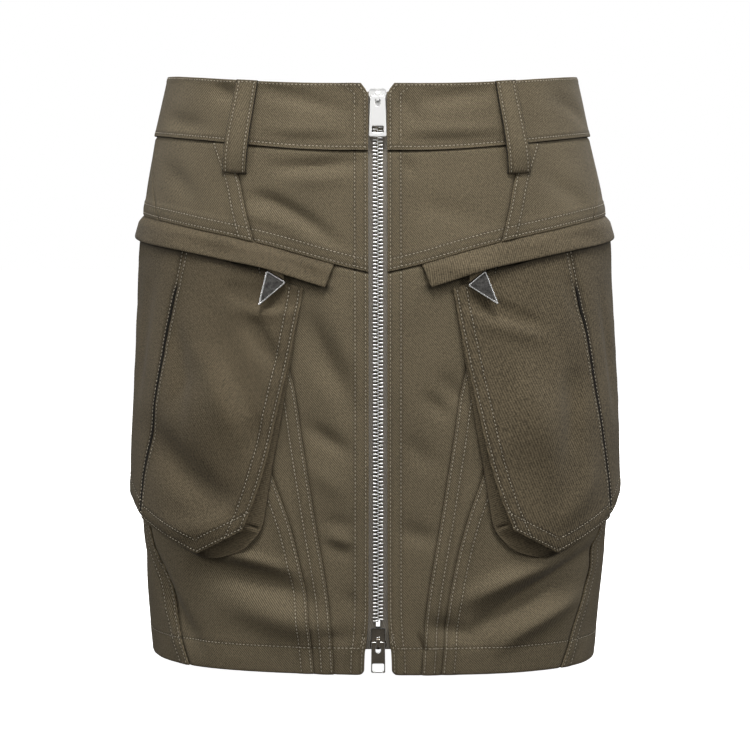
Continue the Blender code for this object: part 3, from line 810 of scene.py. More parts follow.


# How much painted shade darkens the cloth at a place, or how much paler its worn raised edges are,
# and how far that reaches.
STITCH_GROOVE_SHADE, STITCH_REACH = 0.62, 0.9
SLIT_SHADE, SLIT_REACH, SLIT_AWAY = 2.4, 1.25, 0.7
SEAM_SHADE_ABOVE, SEAM_SHADE_ELSEWHERE, SEAM_REACH = 1.5, 0.6, 0.9
LOOP_SIDE_SHADE, LOOP_SIDE_REACH = 2.6, 0.35
EDGE_WEAR, EDGE_REACH = 0.22, 1.0
FLAP_SHADOW, FLAP_REACH = 1.15, 2.6


def shade_and_wear(piece, angle, height, away):
    """Painted shade (below 0) and paler worn raised edges (above 0), against the cloth's own
    colour.
    """
    fade = np.zeros(angle.shape)
    for edge in EDGES:
        finish = piece.finishes[edge]
        for row in finish.rows:
            # Painted shade along each stitch row's groove.
            fade -= STITCH_GROOVE_SHADE * near(away[edge] - row, STITCH_REACH)
        # Painted shadow in the slit where the pocket's side strip parts from its face.
        if finish.dip and finish.rows:
            slit = step(-138, -148, height) * step(-306, -292, height)
            fade -= SLIT_SHADE * slit * near(away[edge] - SLIT_AWAY, SLIT_REACH)
        # Painted shadow where a piece runs under its neighbour's edge, strongest under a seam above
        # it.
        elif finish.dip:
            seam_shade = SEAM_SHADE_ABOVE if edge == "top" else SEAM_SHADE_ELSEWHERE
            fade -= seam_shade * near(away[edge] + 0.2, SEAM_REACH)
        # Painted shadow along the belt loops' sides.
        if piece.node.startswith("loop") and edge in ("left", "right"):
            fade -= LOOP_SIDE_SHADE * near(away[edge], LOOP_SIDE_REACH)
        if finish.rise:
            fade += EDGE_WEAR * near(away[edge], EDGE_REACH)
    # Painted shadow on the pocket and front cloth just below the flaps' hems.
    if piece.node.startswith(("pocket", "front")):
        a = np.abs(angle)
        below = flap_hem(angle) - height
        flap = step(14.5, 15.5, a) * step(0, 2, FLAP_END - a)
        fade -= FLAP_SHADOW * flap * step(-4, -1, below) * near(np.maximum(below, 0), FLAP_REACH)
    return fade


def declare(item, points, thickness, material, slot, node, held, rests_on, rim=0.4):
    width = np.linalg.norm(np.diff(points, axis=1), axis=-1).sum(1).max()
    length = np.linalg.norm(np.diff(points, axis=0), axis=-1).sum(0).max()
    area = np.clip(sum(face.area for face in item.data.polygons),
                   SMALLEST_SHARE * width * length, LARGEST_SHARE * width * length)
    finish_sheet(item, thickness, material, slot, node, rim)
    list(rests_on)


def make_cloth(piece, thickness, material, slot, held="stretched", rests_on=()):
    """The sheet of one cloth piece."""
    u, v = piece.lines()
    rows, columns = v.shape[0], u.shape[1]
    u, v = np.broadcast_to(u, (rows, columns)), np.broadcast_to(v, (rows, columns))
    angle, height = piece.spot(u, v)
    points = piece.points(u, v)
    item = grid_mesh(piece.node + "_cloth", points,
                     weave_coordinates(angle, height, piece.grain, piece.rib),
                     shade_and_wear(piece, angle, height, piece.distances(u, v, angle, height)),
                     piece.side == LEFT)
    declare(item, points, thickness, material, slot, piece.node, held, rests_on)


def used_up(model):
    """A model's corners and faces; the model itself is removed."""
    corners = np.array([vert.co for vert in model.data.vertices])
    faces = [list(face.vertices) for face in model.data.polygons]
    bpy.data.objects.remove(model, do_unlink=True)
    return corners, faces


def one_stitch():
    """A single stitch, 1 long on X, bulging on Z."""
    deselect()
    bpy.ops.mesh.primitive_uv_sphere_add(segments=6, ring_count=4, radius=0.5)
    item = bpy.context.object
    edit_all(item)
    bpy.ops.transform.rotate(value=math.pi / 2, orient_axis="Y", center_override=(0, 0, 0))
    bpy.ops.transform.resize(value=(1, 1, 0.72), center_override=(0, 0, 0))
    bm = bmesh.from_edit_mesh(item.data)
    for vert in bm.verts:
        vert.select = abs(vert.co.x) > 0.3
    bm.select_flush_mode()
    bmesh.update_edit_mesh(item.data)
    bpy.ops.transform.resize(value=(1, 1.25, 1.25), center_override=(0, 0, 0))
    leave_edit()
    return item


def at_distance(at, run, line):
    return np.stack([np.interp(at, run, line[:, k]) for k in range(3)], -1)


def sew(name, pieces, more_rows=()):
    """All the topstitching on some pieces, as one mesh of separate stitches."""
    sizes = bpy.context.scene.skirt_sizes
    pitch, width, length = sizes.stitch_pitch, sizes.thread, sizes.stitch_pitch * STITCH_SHARE
    shape, faces = used_up(one_stitch())
    shape = shape * [length, width, width]
    rows = [row for piece in pieces for row in piece.stitch_rows()] + list(more_rows)
    verts, polys = [], []
    random = np.random.default_rng(17)
    for path, normal in rows:
        run = run_along(path)
        if run[-1] < 2 * pitch:
            continue
        count = int(run[-1] / pitch)
        at = (np.arange(count) + 0.5) * run[-1] / count
        at = at + random.uniform(-0.04, 0.04, count) * pitch
        middle, up = at_distance(at, run, path), unit(at_distance(at, run, normal))
        along = unit(at_distance(at + length / 2, run, path)
                     - at_distance(at - length / 2, run, path))
        beside = unit(np.cross(up, along))
        up = np.cross(along, beside)
        skew = random.uniform(-0.05, 0.05, count)[:, None]
        along, beside = along + beside * skew, beside - along * skew
        swell = random.uniform(0.9, 1.1, count)[:, None, None]
        spots = (middle[:, None] + up[:, None] * width * 0.16
                 + (along[:, None] * shape[None, :, 0:1] + beside[:, None] * shape[None, :, 1:2]
                    + up[:, None] * shape[None, :, 2:3]) * swell)
        for stitch in spots:
            base = len(verts)
            verts.extend(stitch.tolist())
            polys.extend([[base + i for i in face] for face in faces])
    item = mesh_item(name, verts, polys)
    item.data.materials.append(thread())
    take(item)
    bpy.ops.object.shade_smooth()
    deselect()
    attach(item, "skirt")


# ---------------------------------------------------------------- finishes
class Wire:
    """A shader value that takes part in a Python expression."""

    def __init__(self, paint, socket):
        self.paint = paint
        self.socket = socket

    def math(self, operation, *others):
        inputs = {0: self, **{i + 1: other for i, other in enumerate(others)}}
        return self.paint.node("ShaderNodeMath", {"operation": operation}, inputs)

    def __add__(self, other):
        return self.math("ADD", other)

    def __mul__(self, other):
        return self.math("MULTIPLY", other)

    def __sub__(self, other):
        return self.math("SUBTRACT", other)

    def __rsub__(self, other):
        return self.paint.node("ShaderNodeMath", {"operation": "SUBTRACT"}, {0: other, 1: self})

    def __truediv__(self, other):
        return self.math("DIVIDE", other)

    __radd__ = __add__
    __rmul__ = __mul__

    def clamp(self):
        return self.paint.node("ShaderNodeClamp", {}, {0: self})


class Paint:
    """A material whose nodes are made one call at a time."""

    def __init__(self, name):
        self.material = bpy.data.materials.new(name)
        self.material.use_nodes = True
        self.tree = self.material.node_tree
        self.shader = self.tree.nodes["Principled BSDF"]

    def node(self, kind, settings, inputs, output=0):
        made = self.tree.nodes.new(kind)
        for key, value in settings.items():
            setattr(made, key, value)
        self.feed(made, inputs)
        return Wire(self, made.outputs[output])

    def feed(self, made, inputs):
        for key, value in inputs.items():
            if isinstance(value, Wire):
                self.tree.links.new(value.socket, made.inputs[key])
            else:
                made.inputs[key].default_value = value

    def noise(self, place, scale, detail=2.0, roughness=0.5):
        return self.node("ShaderNodeTexNoise", {}, {
            "Vector": place, "Scale": scale, "Detail": detail, "Roughness": roughness})

    def mix(self, share, first, second):
        return self.node("ShaderNodeMix", {"data_type": "RGBA"}, {0: share, 6: first, 7: second}, 2)

    def object_place(self):
        return self.node("ShaderNodeTexCoord", {}, {}, "Object")

    def cloth_place(self):
        weave = self.node("ShaderNodeUVMap", {"uv_map": "cloth"}, {})
        return [self.node("ShaderNodeSeparateXYZ", {}, {0: weave}, axis) for axis in (0, 1)]

    def bump(self, height, strength, distance):
        return self.node("ShaderNodeBump", {}, {
            "Height": height, "Strength": strength, "Distance": distance})

    def done(self, **inputs):
        self.feed(self.shader, {key.replace("_", " "): value for key, value in inputs.items()})
        return self.material


def tone(colour, factor):
    return (*(min(1.0, part * factor) for part in colour[:3]), 1.0)


def once(name, make):
    return bpy.data.materials.get(name) or make(name)


def twill(name, colour, contrast):
    """Diagonal twill: raised lines of uneven yarn, mottled dye, and the fade attribute's painted
    shade and paler worn raised edges.
    """
    pitch = bpy.context.scene.skirt_sizes.twill_pitch

    def make(name):
        paint = Paint(name)
        place = paint.object_place()
        across, along = paint.cloth_place()
        drift = paint.noise(place, 160, 1.0)
        line = ((across / pitch + drift * 0.3) * (2 * math.pi)).math("SINE") * 0.5 + 0.5
        streak_place = paint.node("ShaderNodeCombineXYZ", {}, {0: across * 1500, 1: along * 420})
        streak = paint.noise(streak_place, 1.0, 2.0, 0.6)
        float_place = paint.node("ShaderNodeCombineXYZ", {}, {0: across * 700, 1: along * 1500})
        yarn = paint.noise(float_place, 1.0, 1.0)
        blotch = paint.noise(place, 26, 3.0, 0.55)
        # The fade attribute holds painted shade and paler worn edges.
        fade = paint.node("ShaderNodeAttribute", {"attribute_name": "fade"}, {}, "Fac")
        share = ((line - 0.5) * contrast + (streak - 0.5) * 1.6 + (yarn - 0.5) * 1.5
                 + (blotch - 0.5) * 0.6 + fade * 0.9 + 0.5).clamp()
        shade = paint.mix(share, tone(colour, 0.5), tone(colour, 1.5))
        # Painted near-black shadow where the fade attribute is deepest.
        shade = paint.mix((fade * -1 - 0.75).clamp(), shade, tone(colour, 0.1))
        relief = line * 0.7 + streak * 0.4 + yarn * 0.3
        return paint.done(
            Base_Color=shade,
            Roughness=0.88 - share * 0.14,
            Normal=paint.bump(relief, 0.55, 0.00022),
            Sheen_Weight=0.05,
            Sheen_Roughness=0.5,
            Specular_IOR_Level=0.22,
        )

    return once(name, make)


def body_twill():
    return twill("olive_twill", bpy.context.scene.skirt_colours.twill, 1.0)


def pocket_twill():
    return twill("pocket_twill", bpy.context.scene.skirt_colours.pocket_twill, 0.55)


def thread():
    def make(name):
        colour = bpy.context.scene.skirt_colours.thread
        paint = Paint(name)
        place = paint.object_place()
        ply = paint.noise(place, 2600, 1.0)
        dye = paint.noise(place, 90, 2.0)
        share = ((ply - 0.5) * 1.3 + (dye - 0.5) * 0.8 + 0.5).clamp()
        return paint.done(
            Base_Color=paint.mix(share, tone(colour, 0.6), tone(colour, 1.25)),
            Roughness=0.75 - ply * 0.2,
            Normal=paint.bump(ply, 0.5, 0.0001),
            Sheen_Weight=0.1,
        )

    return once("sewing_thread", make)


def ribbed_tape():
    def make(name):
        colour = bpy.context.scene.skirt_colours.tape
        paint = Paint(name)
        place = paint.object_place()
        across, along = paint.cloth_place()
        rib = ((across / 0.0011 + along * 250) * (2 * math.pi)).math("SINE") * 0.5 + 0.5
        lint = paint.noise(place, 1500, 2.0)
        share = ((rib - 0.5) * 0.8 + (lint - 0.5) * 0.9 + 0.5).clamp()
        return paint.done(
            Base_Color=paint.mix(share, tone(colour, 0.62), tone(colour, 1.4)),
            Roughness=0.72 - lint * 0.15,
            Normal=paint.bump(rib, 0.6, 0.0002),
            Sheen_Weight=0.15,
        )

    return once("ribbed_zip_tape", make)


Plate = namedtuple("Plate", "colour share roughness mottle")
PLATES = {
    "bright_nickel_plate": Plate("nickel", 1.0, 0.3, 0.1),
    "tooth_nickel_plate": Plate("nickel", 0.72, 0.27, 0.2),
    "dark_nickel_plate": Plate("dark_nickel", 1.0, 0.2, 0.4),
    "aged_silver_face": Plate("silver", 1.0, 0.5, 1.0),
    "polished_silver_rim": Plate("nickel", 1.0, 0.22, 0.1),
}


def metal(name):
    """Plated metal with fine scratches and darker plating in patches."""
    plate = PLATES[name]
    colour = tone(getattr(bpy.context.scene.skirt_colours, plate.colour), plate.share)
    mottle = plate.mottle

    def make(name):
        paint = Paint(name)
        place = paint.object_place()
        cloud = paint.noise(place, 420, 4.0, 0.7)
        grain = paint.noise(place, 2800, 2.0, 0.6)
        share = ((cloud - 0.5) * 2.2 * mottle + (grain - 0.5) * mottle + 0.6).clamp()
        return paint.done(
            Base_Color=paint.mix(share, tone(colour, 1 - 0.6 * mottle),
                                 tone(colour, 1.1 + 0.9 * mottle)),
            Metallic=1.0,
            Roughness=plate.roughness + (1 - share) * 0.25 * mottle + grain * 0.08,
            Normal=paint.bump(cloud * 0.5 + grain * 0.5, 0.12 + 0.3 * mottle, 0.00012),
        )

    return once(name, make)


# ---------------------------------------------------------------- the cloth pieces
HALF_ROUND = constant(180.0)
ON_BODY = flat_lift(0.0)


def centre_back(side, *rows):
    """At the centre back the left half laps over the right."""
    return lap(*rows) if side == LEFT else UNDER


def band_pieces():
    return [Cloth("waistband" + mark, side, band_front_edge, HALF_ROUND, waist_top, band_seam,
                  flat_lift(BAND_LIFT),
                  (turned(2.0, 9.0), centre_back(side, 1.4), turned(1.4), lap(2.3, rise=0.5)),
                  BAND_FOLDS, 3.0) for side, mark in SIDES]


def yoke_pieces():
    slant, side_seam = seam(YOKE_SLANT), seam(YOKE_SIDE)
    seam_rows = lap(2.0, 8.0)
    found = []
    for side, mark in SIDES:
        found += [
            Cloth("yoke_front" + mark, side, front_edge, slant, band_seam, yoke_seam, ON_BODY,
                  (turned(2.0, 9.0), UNDER, UNDER, seam_rows), YOKE_FOLDS),
            Cloth("yoke_side" + mark, side, slant, side_seam, band_seam, yoke_seam, ON_BODY,
                  (lap(1.4, 8.6), lap(rise=0.35), UNDER, seam_rows), YOKE_FOLDS),
            Cloth("yoke_back" + mark, side, side_seam, HALF_ROUND, band_seam, yoke_seam, ON_BODY,
                  (UNDER, centre_back(side, 1.4, 7.5), UNDER, seam_rows), YOKE_FOLDS, 3.6),
        ]
    return found


def tucked_under_pocket(lift, angle, height, away):
    """Body cloth lies flat and lower where a pocket or flap covers it."""
    cover = under_pocket(angle, height)
    a = np.abs(angle)
    flap = step(14.4, 15.6, a) * step(0, 2, FLAP_END + 0.5 - a) * (1 - step(6, 18, away["top"]))
    return lift * (1 - cover) - UNDER_POCKET * cover - UNDER_FLAP * flap


def lower_pieces():
    inner, outer, side_seam = seam(INSERT_INNER), seam(INSERT_OUTER), seam(SIDE_SEAM)
    hem_fold = lap(HEM_DEPTH, rise=0.35, roll=0.5)
    found = []
    for side, mark in SIDES:
        strips = (
            ("front_centre", front_edge, inner, (turned(2.0, 9.0), UNDER), 2.6),
            ("front_insert", inner, outer, (lap(1.3, 8.0), UNDER), 2.6),
            ("front_side", outer, side_seam, (lap(1.3, 8.0), UNDER), 2.6),
            ("back", side_seam, HALF_ROUND, (lap(1.6, 8.0), centre_back(side, 1.4, 7.5)), 4.0),
        )
        for name, left, right, finishes, spacing in strips:
            found.append(Cloth(name + mark, side, left, right, yoke_seam, hem, ON_BODY,
                               (*finishes, UNDER, hem_fold), BODY_FOLDS, spacing,
                               extra=tucked_under_pocket))
    return found


def loop_pieces():
    side = lap(2.4, rise=0.0, roll=0.4)
    found = []
    for name, middle in LOOP_ANGLES:
        half = float(np.degrees(LOOP_WIDTH / 2 / body_radius(middle, -35.0)))
        found.append(Cloth(
            name, RIGHT, constant(middle - half), constant(middle + half), waist_top,
            lambda angle: waist_top(angle) - LOOP_LENGTH, loop_lift,
            (side, side, lap(1.4, rise=0.0), lap(rise=0.0, roll=0.5)), (), 1.8, 64.0))
    return found


def clear_of_body(lift, angle, height, away):
    """A pocket's creases never press it into the cloth behind."""
    pressed = POCKET_CLEARANCE + 0.12 * (lift - POCKET_CLEARANCE)
    return np.where(lift > POCKET_CLEARANCE, lift, pressed)


def pocket_pieces():
    inner, fold, outer = seam(POCKET_INNER), seam(POCKET_FOLD), seam(POCKET_OUTER)
    base_rows = lap(1.9, 9.0, rise=0.35, roll=0.45, start=1.0, stop=1.0)

    def under_fold(height):
        """The side strip parts a little from the face along the middle of their seam."""
        return fold(height) + 0.35 * step(-140, -150, height) * step(-304, -290, height)

    found = []
    for side, mark in SIDES:
        grain = 68.0 if side == RIGHT else 118.0
        rib = 1.45 if side == RIGHT else 1.0
        found += [
            Cloth("pocket_face" + mark, side, inner, fold, pocket_mouth, pocket_base,
                  pocket_lift, (turned(2.4, 9.2), lap(1.7, rise=0.4), PLAIN, base_rows),
                  POCKET_FOLDS, 2.4, grain, rib=rib, extra=clear_of_body),
            Cloth("pocket_side" + mark, side, under_fold, outer, pocket_mouth, pocket_base,
                  pocket_lift, (UNDER._replace(rows=(2.3,), tuck=0.0, dip=1.0), turned(2.0),
                                PLAIN, base_rows), POCKET_FOLDS, 2.6, grain + 6, rib=rib,
                  extra=clear_of_body),
        ]
    return found


def flap_pieces():
    def end_edge(height):
        return FLAP_END_ANGLE + (-127.5 - height) * 0.17

    tucked, soft = UNDER._replace(dip=0.0), lap(rise=0.0, roll=0.55)
    return [Cloth("flap" + mark, side, end_edge, constant(FLAP_END),
                  lambda angle: yoke_seam(angle) - 0.3, flap_hem, flap_lift,
                  (soft, soft, tucked, soft), FLAP_FOLDS, 2.2, 84.0 if side == RIGHT else 128.0,
                  rib=1.3 if side == RIGHT else 1.1) for side, mark in SIDES]


def drop_tab_pieces():
    found = []
    for tab in DROP_TABS:
        radius = float(body_radius(tab.angle, tab.height))
        half = math.degrees(DROP_TAB_WIDTH / 2 / radius)
        rise = math.tan(math.radians(tab.lean)) * math.radians(1) * radius
        above = 1.5 / math.cos(math.radians(tab.lean))
        mark = MARKS[tab.side]

        def foot(angle, tab=tab, rise=rise, above=above):
            return tab.height + above + (np.abs(angle) - tab.angle) * rise

        found.append(Cloth(
            "drop_tab" + mark, tab.side, constant(tab.angle - half), constant(tab.angle + half),
            lambda angle, foot=foot: foot(angle) + DROP_TAB_LENGTH, foot, drop_tab_lift,
            (PLAIN, PLAIN, PLAIN, PLAIN), (), 1.2))
    return found


def gusset_shape(side):
    """Grid of the bellows strip and its two stitch rows by the foot."""
    index = range(len(GUSSET))
    t = np.linspace(0, len(GUSSET) - 1, 150)
    columns = [curve(list(zip(index, column)), t) for column in zip(*GUSSET)]
    base_angle, base_height, edge_angle, edge_height = (c[:, None] for c in columns)
    w = np.array([0.0, 0.08, 0.18, 0.3, 0.44, 0.6, 0.78, 1.0])[None]
    head = curve(POCKET_STAND, edge_height) - POCKET_WALL

    def surface(w):
        angle = base_angle + (edge_angle - base_angle) * w
        height = base_height + (edge_height - base_height) * w
        lift = GUSSET_FOOT_LIFT + (head - GUSSET_FOOT_LIFT) * w ** 1.7
        corner = step(4.4, 6.2, t[:, None]) * (1 - step(9.5, 12.0, t[:, None]))
        lift = lift + 0.55 * corner * ripple(angle, height, 7.0, 23) * np.sin(np.pi * w)
        mitre = np.abs(t[:, None] - GUSSET_MITRE)
        slit = near(mitre, 0.09) - 0.5 * near(mitre - 0.24, 0.1)
        lift = lift - 1.1 * slit * step(0.12, 0.3, w) * (1 - step(0.8, 1.0, w))
        lift = lift - 0.3 * near(w - GUSSET_ROWS[0], 0.06)
        return side * angle, height, lift + softness(side * angle, height)

    angle, height, lift = surface(w)
    points = on_body(angle, height, lift)
    rows = []
    for share in GUSSET_ROWS:
        a, h, up = surface(np.full((len(t), 1), share))
        path = on_body(a, h, up)[:, 0]
        rows.append((path, outward(a, h)[:, 0]))
    return points, angle, height, rows


def make_gusset(side, mark):
    points, angle, height, rows = gusset_shape(side)
    name = "pocket_gusset" + mark
    item = grid_mesh(name + "_cloth", points, weave_coordinates(angle, height, 20.0),
                     np.zeros(angle.shape), side == RIGHT)
    declare(item, points, GUSSET_CLOTH, pocket_twill(), "twill_pockets", name, "stretched",
            ["skirt"], GUSSET_RIM)
    return rows


def tape_pieces():
    return [Cloth("zip_tape" + mark, side, lambda height: degrees_for(TAPE_INNER, height),
                  lambda height: degrees_for(TAPE_OUTER, height), constant(TAPE_TOP),
                  constant(TAPE_BOTTOM), flat_lift(TAPE_LIFT), (PLAIN,) * 4, (), 1.6, 90.0)
            for side, mark in SIDES]


# ---------------------------------------------------------------- metal
def pick(item, test, kind):
    """Selects the faces or edges that pass a test, and leaves the item in edit mode."""
    take(item)
    bpy.ops.object.mode_set(mode="EDIT")
    bpy.ops.mesh.select_mode(type=kind)
    bpy.ops.mesh.select_all(action="DESELECT")
    bm = bmesh.from_edit_mesh(item.data)
    for part in (bm.edges if kind == "EDGE" else bm.faces):
        if test(part):
            part.select_set(True)
    bmesh.update_edit_mesh(item.data)


def edge_run(edge):
    return (edge.verts[1].co - edge.verts[0].co).normalized()


def smooth_metal(item, body, node):
    take(item)
    bpy.ops.object.shade_smooth_by_angle(angle=math.radians(50))
    even = item.modifiers.new("flat faces", "WEIGHTED_NORMAL")
    even.keep_sharp = True
    even.weight = 80
    apply_last(item)
    deselect()
    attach(item, body)
    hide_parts(node)


def copied_from(node, name):
    """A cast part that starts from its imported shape, with its triangles merged."""
    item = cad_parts[node].copy()
    item.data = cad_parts[node].data.copy()
    item.name = name
    item.parent = None
    for key in list(item.keys()):
        del item[key]
    item.hide_render = False
    item.hide_viewport = False
    bpy.context.scene.collection.objects.link(item)
    item.data.materials.clear()
    edit_all(item)
    bpy.ops.mesh.remove_doubles(threshold=0.00001)
    bpy.ops.mesh.dissolve_limited(angle_limit=math.radians(4))
    leave_edit()
    return item


def block(low, high):
    """A cube between two corners, in a piece's own millimetres."""
    deselect()
    low, high = np.minimum(low, high), np.maximum(low, high)
    size = [b - a for a, b in zip(low, high)]
    middle = [(a + b) / 2 for a, b in zip(low, high)]
    bpy.ops.mesh.primitive_cube_add(size=1, location=middle, scale=size)
    bpy.ops.object.transform_apply(location=True, rotation=True, scale=True)
    return bpy.context.object


def draw_out(move, scale, centre):
    """Extrudes the picked face and scales its new place."""
    bpy.ops.mesh.extrude_region_move(TRANSFORM_OT_translate={"value": move})
    bpy.ops.transform.resize(value=scale, center_override=centre)


def widen_foot(item, share):
    """Scales the bottom end of a piece across."""
    pick(item, lambda face: face.normal.z < -0.9, "FACE")
    bpy.ops.transform.resize(value=(share, 1, 1), center_override=(0, 0, 0))
    leave_edit()


def round_corners(item, radius):
    """Rounds the corners that run through a plate's thickness."""
    pick(item, lambda edge: abs(edge_run(edge).y) > 0.95, "EDGE")
    bpy.ops.mesh.bevel(offset=radius, segments=4, clamp_overlap=True)
    leave_edit()


def join_or_cut(item, tool, operation):
    cut = item.modifiers.new("cut", "BOOLEAN")
    cut.operation = operation
    cut.solver = "EXACT"
    cut.object = tool
    apply_last(item)
    bpy.data.objects.remove(tool, do_unlink=True)


def ease_rims(item, width, rim_material=-1):
    ease = item.modifiers.new("eased rim", "BEVEL")
    ease.width = width
    ease.segments = 2
    ease.material = rim_material
    ease.limit_method = "ANGLE"
    ease.angle_limit = math.radians(35)
    apply_last(item)


def one_tooth():
    """A zip tooth: legs on the tape, a waist and a rounded head; millimetres from the zip line."""
    deselect()
    bpy.ops.mesh.primitive_cube_add(size=1, location=(2.35, -0.4, 0), scale=(1.7, 2.3, 1.2))
    item = bpy.context.object
    bpy.ops.object.transform_apply(location=True, rotation=True, scale=True)
    pick(item, lambda face: face.normal.x < -0.9, "FACE")
    draw_out((-0.7, 0, 0), (1, 0.9, 0.72), (0.8, -0.4, 0))
    draw_out((-0.75, 0, 0), (1, 1.0, 1.2), (0.05, -0.4, 0))
    draw_out((-0.45, 0, 0), (1, 0.8, 0.6), (-0.4, -0.4, 0))
    pick(item, lambda edge: abs(edge_run(edge).x) > 0.75, "EDGE")
    bpy.ops.mesh.bevel(offset=0.3, segments=1, clamp_overlap=True)
    pick(item, lambda face: face.normal.x > 0.9, "FACE")
    bpy.ops.mesh.inset(thickness=0.25)
    leave_edit()
    return item


def place_on_front(height, lift):
    """A frame on the front line in metres: X across, Y into the body, Z up the cloth."""
    normal = Vector(outward(0.0, height).tolist())
    sideways = Vector((1, 0, 0))
    sideways = (sideways - normal * sideways.dot(normal)).normalized()
    upward = (-normal).cross(sideways).normalized() * -1
    base = Matrix((sideways, -normal, upward)).transposed().to_4x4()
    spot = Vector(on_body(0.0, height, lift).tolist())
    return Matrix.Translation(spot) @ base


def make_teeth():
    pitch = bpy.context.scene.skirt_sizes.tooth_pitch / MM
    shape, faces = used_up(one_tooth())
    verts, polys = [], []
    count = int((CHAIN_TOP - CHAIN_BOTTOM - 1.5) / pitch * 2)
    for i in range(count):
        side = LEFT if i % 2 else RIGHT
        spot_on_zip = place_on_front(CHAIN_TOP - 1.0 - i * pitch / 2, 0.0)
        base = len(verts)
        for x, y, z in shape:
            verts.append(tuple(spot_on_zip @ (Vector((x * side, y, z)) * MM)))
        for face in faces:
            polys.append([base + k for k in face[::side]])
    item = mesh_item("zip_teeth", verts, polys)
    item.data.materials.append(metal("tooth_nickel_plate"))
    smooth_metal(item, "skirt", "zip_chain")


def seat(item, name, height, away=0.0, up=0.0):
    """Moves a finished part's mesh from its own millimetres onto the zip line."""
    item.name = name
    item.data.transform(place_on_front(height, 0.0)
                        @ Matrix.Translation(Vector((0, -away, up)) * MM) @ Matrix.Scale(MM, 4))
    item.data.update()


def plate_metal(item, metals):
    """Eases the rims, in the last of the metals."""
    for name in metals:
        item.data.materials.append(metal(name))
    ease_rims(item, METAL_RIM, len(metals) - 1)


def make_slider(node, height, nose, bridge_height, metals):
    """A slider: a shouldered front plate with side rails, a back plate, and its bridge."""
    body = block((-SLIDER_HALF, SLIDER_FRONT, -SLIDER_BACK_LENGTH * nose),
                 (SLIDER_HALF, SLIDER_INSIDE, 0.0))
    pick(body, lambda face: face.normal.z * nose > 0.9, "FACE")
    for run, share in SLIDER_SHOULDERS:
        draw_out((0, 0, run * nose), (share, 1, 1), (0, 0, 0))
    edit_all(body)
    bpy.ops.mesh.normals_make_consistent(inside=False)
    leave_edit()
    back = put(node + "_back", body.data.copy())
    back.data.transform(Matrix.Translation((0, SLIDER_PLATE_GAP, 0)))
    pick(body, lambda face: face.normal.y < -0.9, "FACE")
    bpy.ops.mesh.inset(thickness=SLIDER_RAIL, depth=-SLIDER_RAIL_DEPTH)
    leave_edit()
    neck = block((-0.95, -1.9, 2.0 * nose), (0.95, 3.9, 6.2 * nose))
    bridge = block((-1.1, BRIDGE_OUT, bridge_height - BRIDGE_HALF),
                   (1.1, -1.9, bridge_height + BRIDGE_HALF))
    pick(bridge, lambda edge: abs(edge_run(edge).x) > 0.95 and edge.verts[0].co.y < -5, "EDGE")
    bpy.ops.mesh.bevel(offset=1.6, segments=4, clamp_overlap=True)
    leave_edit()
    eye = block((-3, -5.3, bridge_height - BRIDGE_HALF + 1.2),
                (3, -2.7, bridge_height + BRIDGE_HALF - 1.2))
    join_or_cut(bridge, eye, "DIFFERENCE")
    for part in (neck, back, bridge):
        join_or_cut(body, part, "UNION")
    plate_metal(body, metals)
    seat(body, node + "_metal", height)
    smooth_metal(body, "skirt", node)


def make_pull(node, height, bridge_height, pull, body, metals):
    """A pull tab: a tapered plate with a slot for the bridge and a rounded window."""
    tab = block((-pull.head, -PULL_HALF_THICKNESS, -pull.length),
                (pull.head, PULL_HALF_THICKNESS, 1.0))
    widen_foot(tab, pull.foot / pull.head)
    round_corners(tab, 1.1)
    for half, low, high, radius in ((1.7, -6.3, -1.0, 1.5), (
            pull.window_half, pull.window_foot, pull.window_head, 0.9)):
        opening = block((-half, -2, low), (half, 2, high))
        round_corners(opening, radius)
        join_or_cut(tab, opening, "DIFFERENCE")
    plate_metal(tab, metals)
    seat(tab, node + "_metal", height, away=PULL_STAND, up=bridge_height)
    smooth_metal(tab, body, node)


def make_drop(tab):
    """A flat triangle with a raised polished rim round a dark recessed face."""
    mark = MARKS[tab.side]
    node = "triangle_drop" + mark
    out = Vector(outward(tab.side * tab.angle, tab.height).tolist())
    item = copied_from(node, node + "_metal")
    item.data.materials.append(metal("aged_silver_face"))
    item.data.materials.append(metal("polished_silver_rim"))
    for face in item.data.polygons:
        face.material_index = 1
    pick(item, lambda face: face.normal.dot(out) > 0.8 and face.calc_area() > 2e-5, "FACE")
    bpy.ops.mesh.inset(thickness=0.0006, depth=0.0)
    bpy.ops.mesh.inset(thickness=0.0003, depth=-0.0003)
    leave_edit()
    for face in item.data.polygons:
        if face.select:
            face.material_index = 0
    ease_rims(item, 0.0003)
    smooth_metal(item, "drop" + mark, node)


# ---------------------------------------------------------------- stage
CAMERA_LENS = 123.4
CAMERA_TURN = -1.0
CAMERA_AWAY = 1.8
CAMERA_HEIGHT = -0.099
CAMERA_AIM = -0.207
STUDIO_FILL = 0.045
MIDDLE = (0, 0, -0.2)
SoftBox = namedtuple("SoftBox", "name place aim size power")
SOFT_BOXES = (
    SoftBox("key", (-0.1, -1.05, 1.05), MIDDLE, 0.5, 3.5),
    SoftBox("top", (0.05, -0.75, 1.25), MIDDLE, 0.45, 19),
    SoftBox("right fill", (1.35, -1.25, 0.6), MIDDLE, 0.6, 10.5),
    SoftBox("left fill", (-1.35, -1.25, 0.6), MIDDLE, 0.6, 9.0),
    SoftBox("metal card", (0.0, -1.7, 0.55), (0, -0.1, -0.05), 0.9, 2.2),
    SoftBox("floor bounce", (0.0, -1.0, -0.35), MIDDLE, 0.6, 0.9),
    SoftBox("back", (0.3, 1.6, 1.0), MIDDLE, 1.2, 34),
    SoftBox("right back", (1.7, 0.5, 0.5), MIDDLE, 0.8, 11),
    SoftBox("left back", (-1.7, 0.5, 0.5), MIDDLE, 0.8, 10),
)


